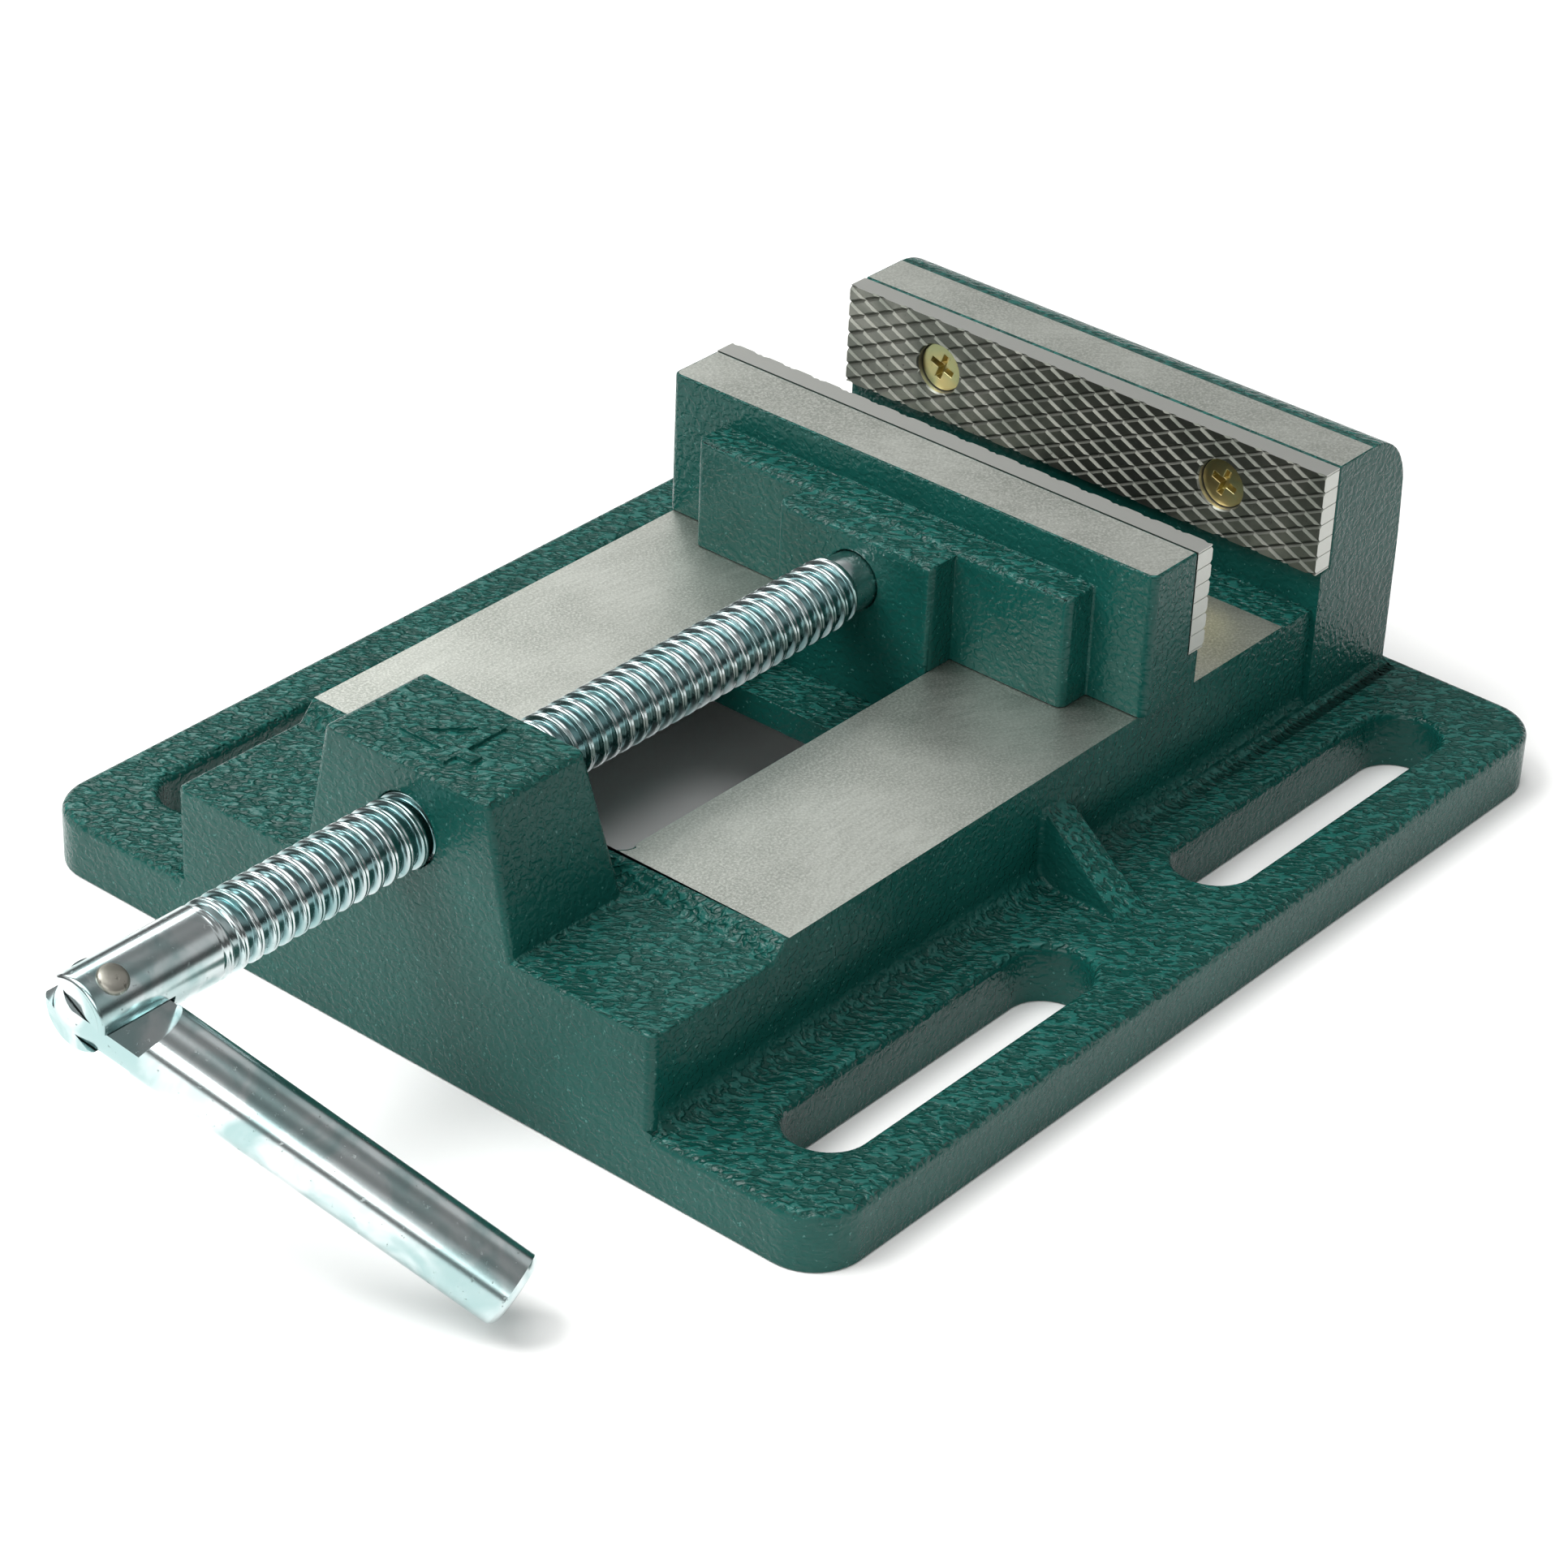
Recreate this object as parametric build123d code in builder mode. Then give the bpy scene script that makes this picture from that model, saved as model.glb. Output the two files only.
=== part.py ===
"""Four-inch drill-press vise: a cast base with four table slots, a jaw on rails and a lead screw.

Frame: +X runs along the lead screw from the handle to the fixed jaw, +Y to the left, +Z up.
The origin is the middle of the four-slot pattern, on the underside of the base. Millimetres.
"""
from build123d import *
from math import cos, sin, radians
import os

os.makedirs("parts", exist_ok=True)

# Overall sizes of the base
BASE_LENGTH = 190.0
FLANGE_WIDTH = 163.0
FLANGE_THICKNESS = 10.6
FLANGE_CORNER_R = 9.0
FLANGE_EDGE_R = 1.5
JAW_WIDTH = 100.0

# Table slots: two on each side, for half-inch bolts
SLOT_SPACING_X = 96.0
SLOT_SPACING_Y = 130.6
SLOT_WIDTH = 13.4
SLOT_LENGTH = 66.5

# Body of the base, between the flanges
BODY_WIDTH = 98.0
BODY_REAR_X = 92.0
BODY_FOOT_R = 4.0
STEP_HEIGHT = 27.6
STEP_END_X = -68.5
RAIL_HEIGHT = 30.4
RAIL_FRONT_X = -66.0
RAIL_REAR_X = 60.4
RAIL_END_CHAMFER = 0.4
RAIL_THICKNESS = 9.8
WALL = 7.0
WELL_WIDTH = 32.0
WELL_FRONT_X = -65.0
WELL_REAR_X = 63.5
WELL_CORNER_R = 3.0
CAVITY_REAR_X = 66.5
CAVITY_FRONT_WALL = 8.0
CAVITY_CORNER_R = 4.0
WEB_THICKNESS = 7.0

# Gusset between the two slots of each side
GUSSET_THICKNESS = 7.0
GUSSET_REACH = 16.5
GUSSET_TOP_Z = 24.5

# Screw boss at the front
BOSS_TOP_WIDTH = 33.0
BOSS_FOOT_WIDTH = 43.5
BOSS_HEIGHT = 52.6
BOSS_TOP_DEPTH = 20.8
BOSS_FOOT_DEPTH = 24.5
SIZE_MARK_HEIGHT = 13.5
SIZE_MARK_RELIEF = 0.6
MARK_MIDDLE = 0.54  # middle of the numeral's width, as a share of its height
# Block numeral 4, as shares of its height, and the eye inside it
SIZE_MARK = (
    (0.64, 0), (0.86, 0), (0.86, 0.2), (1.08, 0.2), (1.08, 0.38), (0.86, 0.38),
    (0.86, 1.0), (0.60, 1.0), (0, 0.38), (0, 0.2), (0.64, 0.2),
)
MARK_EYE = ((0.64, 0.38), (0.64, 0.78), (0.25, 0.38))

# Fixed jaw
JAW_TOP_Z = 56.2
JAW_FACE_X = 67.0
PLATE_THICKNESS = 4.0
PLATE_HEIGHT = 18.6
FIXED_LEDGE_X = 69.0
FIXED_BACK_R = 11.0
STRIP_HEIGHT = 30.0

# Moving jaw, at the opening where it rests
REST_OPENING = 31.2
JAW_CASTING_THICKNESS = 11.5
MOVING_LEDGE = 2.7
SHOULDER_WIDTH = 77.4
SHOULDER_TOP_Z = 50.3
SHOULDER_FRONT_X = 13.9
SHOULDER_OVERLAP = 2.0
NOSE_WIDTH = 32.2
NOSE_TOP_Z = 49.7
NOSE_FRONT_X = 7.8
JAW_CORNER_R = 1.5
RAIL_GAP = 0.1
TONGUE_SIDE_GAP = 0.2
TONGUE_END_GAP = 0.4

# Keeper plate and its bolts, under the rails
KEEPER_LENGTH = 38.0
KEEPER_WIDTH = 46.0
KEEPER_THICKNESS = 5.0
KEEPER_FRONT_X = -3.2
KEEPER_GAP = 0.3
KEEPER_CORNER_R = 4.0
BOLT_X = (13.2, 25.2)
BOLT_R = 3.0
BOLT_HOLE_R = 3.3
BOLT_TIP_Z = 32.5
BOLT_END_GAP = 0.5
BOLT_HEAD_AF = 10.0
BOLT_HEAD_HEIGHT = 4.0
WASHER_R = 5.6
WASHER_THICKNESS = 1.6
WASHER_SPLIT = 1.2

# Lead screw
SCREW_Z = 41.35
SCREW_R = 6.0
SCREW_FRONT_X = -160.0
THREAD_REAR_X = 3.5
NECK_R = 5.0
SCREW_REAR_X = 27.0
THREAD_HOLE_GAP = 0.1
JOURNAL_GAP = 0.08
JOURNAL_END_GAP = 0.4
GROOVE_R = 3.6
GROOVE_WIDTH = 3.5
END_CHAMFER = 0.7
NECK_SLOPE = 1.0
PIN_R = 1.5
PIN_X = 19.6
PIN_GAP = 0.2
PIN_TOP_Z = 45.5
PIN_BORE_R = 0.75
PIN_SINK = 1.0

# Fork, rivet and handle
FORK_TILT = 31.5
FORK_SLOT = 4.6
FORK_SLOT_END_X = -146.2
RIVET_X = -155.0
RIVET_R = 2.0
RIVET_HEAD_R = 2.45
RIVET_HEAD_HEIGHT = 0.9
RIVET_GAP = 0.06
HANDLE_R = 5.85
HANDLE_LENGTH = 70.3
HANDLE_SWING = 20.0
HANDLE_CHAMFER = 1.0
TONGUE_THICKNESS = 4.0
TONGUE_SHOULDER_R = 10.6

# Plate screws
SCREW_SPACING = 59.8
PLATE_SCREW_Z = 47.0
PLATE_SCREW_R = 2.5
PLATE_SCREW_LENGTH = 13.0
THREADED_GAP = 0.05
SCREW_HEAD_R = 4.3
SCREW_HEAD_CONE = 2.1
SCREW_HEAD_RIM = 0.3
SCREW_SINK = 1.2
SCREW_HEAD_GAP = 0.2
RECESS_WIDTH = 1.2
RECESS_LENGTH = 5.0
RECESS_DEPTH = 1.5
RECESS_TURN = 20.0
RECESS_TAPER = 8.0

# Places worked out from the sizes above
PLATE_BOTTOM_Z = JAW_TOP_Z - PLATE_HEIGHT
FIXED_SEAT_X = JAW_FACE_X + PLATE_THICKNESS
MOVING_FACE_X = JAW_FACE_X - REST_OPENING
MOVING_SEAT_X = MOVING_FACE_X - PLATE_THICKNESS
MOVING_FRONT_X = MOVING_SEAT_X - JAW_CASTING_THICKNESS
TONGUE_BOTTOM_Z = RAIL_HEIGHT - RAIL_THICKNESS - KEEPER_GAP
KEEPER_BOTTOM_Z = TONGUE_BOTTOM_Z - KEEPER_THICKNESS
BOLT_HEAD_Z = KEEPER_BOTTOM_Z - WASHER_THICKNESS
FRONT_X = -BASE_LENGTH / 2
SHOULDER_X = MOVING_SEAT_X - SHOULDER_OVERLAP
TONGUE_REAR_X = WELL_REAR_X - WELL_CORNER_R - REST_OPENING - TONGUE_END_GAP

RIVET_AXIS = Vector(0, -sin(radians(FORK_TILT)), cos(radians(FORK_TILT)))
SIDEWAYS = Vector(0, -cos(radians(FORK_TILT)), -sin(radians(FORK_TILT)))
HANDLE_AXIS = SIDEWAYS * cos(radians(HANDLE_SWING)) + Vector(1, 0, 0) * sin(radians(HANDLE_SWING))
RIVET_POINT = Vector(RIVET_X, 0, SCREW_Z)
RIVET_PLANE = Plane(origin=RIVET_POINT, x_dir=HANDLE_AXIS, z_dir=RIVET_AXIS)
FORK_PLANE = Plane(origin=RIVET_POINT, x_dir=(1, 0, 0), z_dir=RIVET_AXIS)
HANDLE_PLANE = Plane(origin=RIVET_POINT, z_dir=HANDLE_AXIS)


def screw_plane(x):
    """Plane square to the lead screw at x, with its origin on the screw's axis."""
    return Plane(origin=(x, 0, SCREW_Z), x_dir=(0, 1, 0), z_dir=(1, 0, 0))


def side_plane(y):
    """Upright plane along the vise at y: local x is forward along +X, local y is up."""
    return Plane(origin=(0, y, 0), x_dir=(1, 0, 0), z_dir=(0, -1, 0))


def level_edge(shape, z):
    """Edges of a shape that lie level at height z."""
    return shape.edges().filter_by_position(Axis.Z, z - 0.01, z + 0.01)


# Base casting: flange, body, fixed jaw, gussets and screw boss in one iron casting
with BuildPart() as base_casting:
    with BuildSketch(Plane.XY):
        RectangleRounded(BASE_LENGTH, FLANGE_WIDTH, FLANGE_CORNER_R)
        with GridLocations(SLOT_SPACING_X, SLOT_SPACING_Y, 2, 2):
            SlotOverall(SLOT_LENGTH, SLOT_WIDTH, mode=Mode.SUBTRACT)
    extrude(amount=FLANGE_THICKNESS)
    fillet(level_edge(base_casting, FLANGE_THICKNESS), FLANGE_EDGE_R)

    with BuildSketch(side_plane(0)):
        with BuildLine():
            Polyline(
                (FRONT_X, 0), (FRONT_X, STEP_HEIGHT), (STEP_END_X, STEP_HEIGHT),
                (RAIL_FRONT_X, RAIL_HEIGHT), (RAIL_REAR_X, RAIL_HEIGHT),
                (RAIL_REAR_X + RAIL_END_CHAMFER, STRIP_HEIGHT), (FIXED_LEDGE_X, STRIP_HEIGHT),
                (FIXED_LEDGE_X, PLATE_BOTTOM_Z), (BODY_REAR_X, PLATE_BOTTOM_Z),
                (BODY_REAR_X, 0), close=True,
            )
        make_face()
    extrude(amount=BODY_WIDTH / 2, both=True)

    # Gussets carry the side walls down to the flange between the slots
    for side in (1, -1):
        with BuildSketch(Plane.YZ.offset(-GUSSET_THICKNESS / 2)):
            with BuildLine():
                Polyline(
                    (side * (BODY_WIDTH / 2 - 1), 1),
                    (side * (BODY_WIDTH / 2 - 1), GUSSET_TOP_Z),
                    (side * (BODY_WIDTH / 2 + GUSSET_REACH), FLANGE_THICKNESS),
                    (side * (BODY_WIDTH / 2 + GUSSET_REACH), 1),
                    close=True,
                )
            make_face()
        extrude(amount=GUSSET_THICKNESS)

    # Hollow foot radius where each side wall meets the flange
    for side in (1, -1):
        wall = side * BODY_WIDTH / 2
        with BuildSketch(Plane.YZ.offset(FRONT_X + FLANGE_EDGE_R)):
            with BuildLine():
                Polyline(
                    (wall, FLANGE_THICKNESS + BODY_FOOT_R), (wall - side, FLANGE_THICKNESS - 1),
                    (wall + side * BODY_FOOT_R, FLANGE_THICKNESS),
                )
                RadiusArc(
                    (wall + side * BODY_FOOT_R, FLANGE_THICKNESS),
                    (wall, FLANGE_THICKNESS + BODY_FOOT_R), side * BODY_FOOT_R,
                )
            make_face()
        extrude(amount=BODY_REAR_X - FRONT_X - FLANGE_EDGE_R)

    # Fixed jaw, rounded along its top rear edge
    with BuildSketch(side_plane(0)):
        with BuildLine():
            Polyline(
                (FIXED_LEDGE_X, FLANGE_THICKNESS), (FIXED_LEDGE_X, PLATE_BOTTOM_Z),
                (FIXED_SEAT_X, PLATE_BOTTOM_Z), (FIXED_SEAT_X, JAW_TOP_Z),
                (BODY_REAR_X - FIXED_BACK_R, JAW_TOP_Z),
            )
            RadiusArc(
                (BODY_REAR_X - FIXED_BACK_R, JAW_TOP_Z),
                (BODY_REAR_X, JAW_TOP_Z - FIXED_BACK_R), FIXED_BACK_R,
            )
            Polyline(
                (BODY_REAR_X, JAW_TOP_Z - FIXED_BACK_R), (BODY_REAR_X, FLANGE_THICKNESS),
                (FIXED_LEDGE_X, FLANGE_THICKNESS),
            )
        make_face()
    extrude(amount=JAW_WIDTH / 2, both=True)

    # Tapered screw boss: a wedge in plan and in side view, upright at the front
    with BuildSketch(Plane.XY.offset(STEP_HEIGHT - 1)):
        with Locations((FRONT_X + BOSS_FOOT_DEPTH / 2, 0)):
            Rectangle(BOSS_FOOT_DEPTH, BOSS_FOOT_WIDTH)
    with BuildSketch(Plane.XY.offset(BOSS_HEIGHT)):
        with Locations((FRONT_X + BOSS_TOP_DEPTH / 2, 0)):
            Rectangle(BOSS_TOP_DEPTH, BOSS_TOP_WIDTH)
    loft()
    mark_corner = (FRONT_X + (BOSS_TOP_DEPTH - SIZE_MARK_HEIGHT) / 2, SIZE_MARK_HEIGHT * MARK_MIDDLE)
    with BuildSketch(Plane(origin=(*mark_corner, BOSS_HEIGHT), x_dir=(0, -1, 0), z_dir=(0, 0, 1))):
        with BuildLine():
            Polyline(*[(SIZE_MARK_HEIGHT * u, SIZE_MARK_HEIGHT * v) for u, v in SIZE_MARK], close=True)
        make_face()
        with BuildLine():
            Polyline(*[(SIZE_MARK_HEIGHT * u, SIZE_MARK_HEIGHT * v) for u, v in MARK_EYE], close=True)
        make_face(mode=Mode.SUBTRACT)
    extrude(amount=SIZE_MARK_RELIEF)

    # Hollow underside, the well between the rails and the pocket under the fixed jaw
    with BuildSketch(Plane.XY):
        with Locations(((FRONT_X + CAVITY_FRONT_WALL + CAVITY_REAR_X) / 2, 0)):
            RectangleRounded(
                CAVITY_REAR_X - FRONT_X - CAVITY_FRONT_WALL, BODY_WIDTH - 2 * WALL,
                CAVITY_CORNER_R,
            )
        with Locations(((CAVITY_REAR_X + WEB_THICKNESS + BODY_REAR_X - WALL) / 2, 0)):
            RectangleRounded(
                BODY_REAR_X - WALL - CAVITY_REAR_X - WEB_THICKNESS, BODY_WIDTH - 2 * WALL,
                CAVITY_CORNER_R,
            )
    extrude(amount=RAIL_HEIGHT - RAIL_THICKNESS, mode=Mode.SUBTRACT)
    with BuildSketch(Plane.XY):
        with Locations(((WELL_FRONT_X + WELL_REAR_X) / 2, 0)):
            RectangleRounded(WELL_REAR_X - WELL_FRONT_X, WELL_WIDTH, WELL_CORNER_R)
    extrude(amount=RAIL_HEIGHT + 1, mode=Mode.SUBTRACT)

    # Screw hole through the boss, and the two blind holes for the plate screws
    with BuildSketch(screw_plane(FRONT_X - 1)):
        Circle(SCREW_R + THREAD_HOLE_GAP)
    extrude(amount=2 * BOSS_FOOT_DEPTH, mode=Mode.SUBTRACT)
    with BuildSketch(Plane(origin=(FIXED_SEAT_X, 0, PLATE_SCREW_Z), x_dir=(0, 1, 0), z_dir=(1, 0, 0))):
        with GridLocations(SCREW_SPACING, 1, 2, 1):
            Circle(PLATE_SCREW_R + THREADED_GAP)
    extrude(amount=PLATE_SCREW_LENGTH, mode=Mode.SUBTRACT)
base_casting.part.label = "base_casting"

# Moving jaw: plate, shoulder, nose and the tongue that runs between the rails
with BuildPart() as moving_jaw:
    with BuildSketch(side_plane(0)):
        with BuildLine():
            Polyline(
                (MOVING_FRONT_X, RAIL_HEIGHT + RAIL_GAP), (MOVING_FRONT_X, JAW_TOP_Z),
                (MOVING_SEAT_X, JAW_TOP_Z), (MOVING_SEAT_X, PLATE_BOTTOM_Z),
                (MOVING_SEAT_X + MOVING_LEDGE, PLATE_BOTTOM_Z),
                (MOVING_SEAT_X + MOVING_LEDGE, RAIL_HEIGHT + RAIL_GAP), close=True,
            )
        make_face()
    extrude(amount=JAW_WIDTH / 2, both=True)
    upright_front = moving_jaw.edges().filter_by(Axis.Z).group_by(Axis.X)[0]
    fillet(upright_front, JAW_CORNER_R)

    for width, top, front in (
        (SHOULDER_WIDTH, SHOULDER_TOP_Z, SHOULDER_FRONT_X),
        (NOSE_WIDTH, NOSE_TOP_Z, NOSE_FRONT_X),
    ):
        with BuildSketch(Plane.XY.offset(RAIL_HEIGHT + RAIL_GAP)):
            with Locations(((front + SHOULDER_X) / 2, 0)):
                Rectangle(SHOULDER_X - front, width)
        extrude(amount=top - RAIL_HEIGHT - RAIL_GAP)
        fillet(
            moving_jaw.edges().filter_by_position(Axis.X, front - 0.01, front + 0.01)
            .filter_by_position(Axis.Z, RAIL_HEIGHT + 1, top + 0.1), JAW_CORNER_R,
        )
    with BuildSketch(Plane.XY.offset(TONGUE_BOTTOM_Z)):
        with Locations(((NOSE_FRONT_X + TONGUE_REAR_X) / 2, 0)):
            Rectangle(TONGUE_REAR_X - NOSE_FRONT_X, WELL_WIDTH - 2 * TONGUE_SIDE_GAP)
    extrude(amount=RAIL_HEIGHT + 1 - TONGUE_BOTTOM_Z)

    # Bore for the screw's journal, the pin's hole, the bolt holes and the plate-screw holes
    with BuildSketch(screw_plane(NOSE_FRONT_X - 1)):
        Circle(NECK_R + JOURNAL_GAP)
    extrude(amount=SCREW_REAR_X + JOURNAL_END_GAP - NOSE_FRONT_X + 1, mode=Mode.SUBTRACT)
    with BuildSketch(Plane.XY.offset(TONGUE_BOTTOM_Z)):
        with Locations((PIN_X, GROOVE_R + PIN_R + PIN_GAP)):
            Circle(PIN_R)
    extrude(amount=PIN_TOP_Z - TONGUE_BOTTOM_Z, mode=Mode.SUBTRACT)
    with BuildSketch(Plane.XY.offset(TONGUE_BOTTOM_Z)):
        with Locations(*[(x, 0) for x in BOLT_X]):
            Circle(BOLT_R)
    extrude(amount=BOLT_TIP_Z + BOLT_END_GAP - TONGUE_BOTTOM_Z, mode=Mode.SUBTRACT)
    with BuildSketch(Plane(origin=(MOVING_SEAT_X, 0, PLATE_SCREW_Z), x_dir=(0, 1, 0), z_dir=(-1, 0, 0))):
        with GridLocations(SCREW_SPACING, 1, 2, 1):
            Circle(PLATE_SCREW_R + THREADED_GAP)
    extrude(amount=PLATE_SCREW_LENGTH, mode=Mode.SUBTRACT)
moving_jaw.part.label = "moving_jaw"


def screw_seat(face_x, into, gap):
    """Half section of a plate screw's head and shank, from the sunk head inwards, grown by gap."""
    head = face_x + into * (SCREW_SINK - gap)
    cone = head + into * (gap + SCREW_HEAD_CONE)
    section = [
        (head, PLATE_SCREW_Z), (head, PLATE_SCREW_Z + SCREW_HEAD_R + gap),
        (head + into * SCREW_HEAD_RIM, PLATE_SCREW_Z + SCREW_HEAD_R + gap),
        (cone, PLATE_SCREW_Z + PLATE_SCREW_R + gap),
        (face_x + into * PLATE_SCREW_LENGTH, PLATE_SCREW_Z + PLATE_SCREW_R + gap),
        (face_x + into * PLATE_SCREW_LENGTH, PLATE_SCREW_Z),
    ]
    return section


def jaw_plate(face_x, into):
    """Jaw plate with its working face at face_x; into is +1 or -1, from the face to its seat."""
    with BuildPart() as plate:
        with Locations((face_x + into * PLATE_THICKNESS / 2, 0, JAW_TOP_Z - PLATE_HEIGHT / 2)):
            Box(PLATE_THICKNESS, JAW_WIDTH, PLATE_HEIGHT)
        for y in (-SCREW_SPACING / 2, SCREW_SPACING / 2):
            with BuildSketch(side_plane(y)):
                with BuildLine():
                    Polyline(*screw_seat(face_x, into, SCREW_HEAD_GAP), close=True)
                make_face()
            revolve(axis=Axis((face_x, y, PLATE_SCREW_Z), (1, 0, 0)), mode=Mode.SUBTRACT)
            with BuildSketch(Plane(origin=(face_x, y, PLATE_SCREW_Z), z_dir=(into, 0, 0))):
                Circle(SCREW_HEAD_R + SCREW_HEAD_GAP)
            extrude(amount=SCREW_SINK, mode=Mode.SUBTRACT)
    return plate.part


def plate_screw(face_x, into, y):
    """Countersunk cross-recess screw that holds a jaw plate, with its head sunk below the face."""
    with BuildPart() as screw:
        with BuildSketch(side_plane(y)):
            with BuildLine():
                Polyline(*screw_seat(face_x, into, 0), close=True)
            make_face()
        revolve(axis=Axis((face_x, y, PLATE_SCREW_Z), (1, 0, 0)))
        head = Plane(origin=(face_x + into * SCREW_SINK, y, PLATE_SCREW_Z), x_dir=(0, 1, 0),
                     z_dir=(into, 0, 0))
        with BuildSketch(head):
            Rectangle(RECESS_LENGTH, RECESS_WIDTH, rotation=RECESS_TURN)
            Rectangle(RECESS_WIDTH, RECESS_LENGTH, rotation=RECESS_TURN)
        extrude(amount=RECESS_DEPTH, taper=RECESS_TAPER, mode=Mode.SUBTRACT)
    return screw.part


# Jaw plates and their screws
with BuildPart() as fixed_jaw_plate:
    add(jaw_plate(JAW_FACE_X, 1))
fixed_jaw_plate.part.label = "fixed_jaw_plate"

with BuildPart() as moving_jaw_plate:
    add(jaw_plate(MOVING_FACE_X, -1))
moving_jaw_plate.part.label = "moving_jaw_plate"

plate_screws = []
for jaw, face_x, into in (("fixed", JAW_FACE_X, 1), ("moving", MOVING_FACE_X, -1)):
    for side, y in (("left", SCREW_SPACING / 2), ("right", -SCREW_SPACING / 2)):
        with BuildPart() as jaw_screw:
            add(plate_screw(face_x, into, y))
        jaw_screw.part.label = f"{jaw}_plate_screw_{side}"
        plate_screws.append(jaw_screw.part)

# Keeper plate: clamped to the tongue from below, it holds the moving jaw down on the rails
with BuildPart() as keeper_plate:
    with BuildSketch(Plane.XY.offset(KEEPER_BOTTOM_Z)):
        with Locations((KEEPER_FRONT_X + KEEPER_LENGTH / 2, 0)):
            RectangleRounded(KEEPER_LENGTH, KEEPER_WIDTH, KEEPER_CORNER_R)
        with Locations(*[(x, 0) for x in BOLT_X]):
            Circle(BOLT_HOLE_R, mode=Mode.SUBTRACT)
    extrude(amount=KEEPER_THICKNESS)
keeper_plate.part.label = "keeper_plate"


def keeper_bolt(x):
    """Hexagon bolt through the keeper plate, head down."""
    with BuildPart() as bolt:
        with BuildSketch(Plane.XY.offset(BOLT_HEAD_Z - BOLT_HEAD_HEIGHT)):
            with Locations((x, 0)):
                RegularPolygon(BOLT_HEAD_AF / 2, 6, major_radius=False)
        extrude(amount=BOLT_HEAD_HEIGHT)
        with BuildSketch(Plane.XY.offset(BOLT_HEAD_Z)):
            with Locations((x, 0)):
                Circle(BOLT_R)
        extrude(amount=BOLT_TIP_Z - BOLT_HEAD_Z)
    return bolt.part


def spring_washer(x):
    """Split ring between a bolt's head and the keeper plate."""
    with BuildPart() as washer:
        with BuildSketch(Plane.XY.offset(BOLT_HEAD_Z)):
            with Locations((x, 0)):
                Circle(WASHER_R)
                Circle(BOLT_HOLE_R, mode=Mode.SUBTRACT)
            with Locations((x, -(WASHER_R + BOLT_HOLE_R) / 2)):
                Rectangle(WASHER_SPLIT, WASHER_R, mode=Mode.SUBTRACT)
        extrude(amount=WASHER_THICKNESS)
    return washer.part


keeper_hardware = []
for place, x in zip(("front", "rear"), BOLT_X):
    with BuildPart() as bolt_piece:
        add(keeper_bolt(x))
    bolt_piece.part.label = f"keeper_bolt_{place}"
    with BuildPart() as washer_piece:
        add(spring_washer(x))
    washer_piece.part.label = f"keeper_washer_{place}"
    keeper_hardware += [bolt_piece.part, washer_piece.part]

# Lead screw: forked front end, thread as its outside cylinder, neck and grooved journal
with BuildPart() as lead_screw:
    with BuildSketch(side_plane(0)):
        with BuildLine():
            Polyline(
                (SCREW_FRONT_X, SCREW_Z), (SCREW_FRONT_X, SCREW_Z + SCREW_R - END_CHAMFER),
                (SCREW_FRONT_X + END_CHAMFER, SCREW_Z + SCREW_R), (THREAD_REAR_X, SCREW_Z + SCREW_R),
                (THREAD_REAR_X + NECK_SLOPE, SCREW_Z + NECK_R), (PIN_X - GROOVE_WIDTH / 2, SCREW_Z + NECK_R),
                (PIN_X - GROOVE_WIDTH / 2, SCREW_Z + GROOVE_R),
                (PIN_X + GROOVE_WIDTH / 2, SCREW_Z + GROOVE_R),
                (PIN_X + GROOVE_WIDTH / 2, SCREW_Z + NECK_R), (SCREW_REAR_X - END_CHAMFER, SCREW_Z + NECK_R),
                (SCREW_REAR_X, SCREW_Z + NECK_R - END_CHAMFER), (SCREW_REAR_X, SCREW_Z), close=True,
            )
        make_face()
    revolve(axis=Axis((0, 0, SCREW_Z), (1, 0, 0)))
    # The fork's slot ends round, as its cutter left it
    with BuildSketch(FORK_PLANE.offset(-FORK_SLOT / 2)):
        slot_reach = FORK_SLOT_END_X - RIVET_X
        with Locations(((slot_reach + SCREW_FRONT_X - RIVET_X - 1) / 2, 0)):
            Rectangle(slot_reach - (SCREW_FRONT_X - RIVET_X - 1), 3 * SCREW_R)
    extrude(amount=FORK_SLOT, mode=Mode.SUBTRACT)
    with BuildSketch(FORK_PLANE.offset(-SCREW_R - 1)):
        Circle(RIVET_R)
    extrude(amount=2 * SCREW_R + 2, mode=Mode.SUBTRACT)
lead_screw.part.label = "lead_screw"

# Spring pin: it runs in the screw's groove and keeps the screw in the moving jaw
with BuildPart() as screw_retaining_pin:
    with BuildSketch(Plane.XY.offset(TONGUE_BOTTOM_Z + PIN_SINK)):
        with Locations((PIN_X, GROOVE_R + PIN_R + PIN_GAP)):
            Circle(PIN_R)
            Circle(PIN_BORE_R, mode=Mode.SUBTRACT)
    extrude(amount=PIN_TOP_Z - TONGUE_BOTTOM_Z - PIN_SINK)
screw_retaining_pin.part.label = "screw_retaining_pin"

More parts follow.
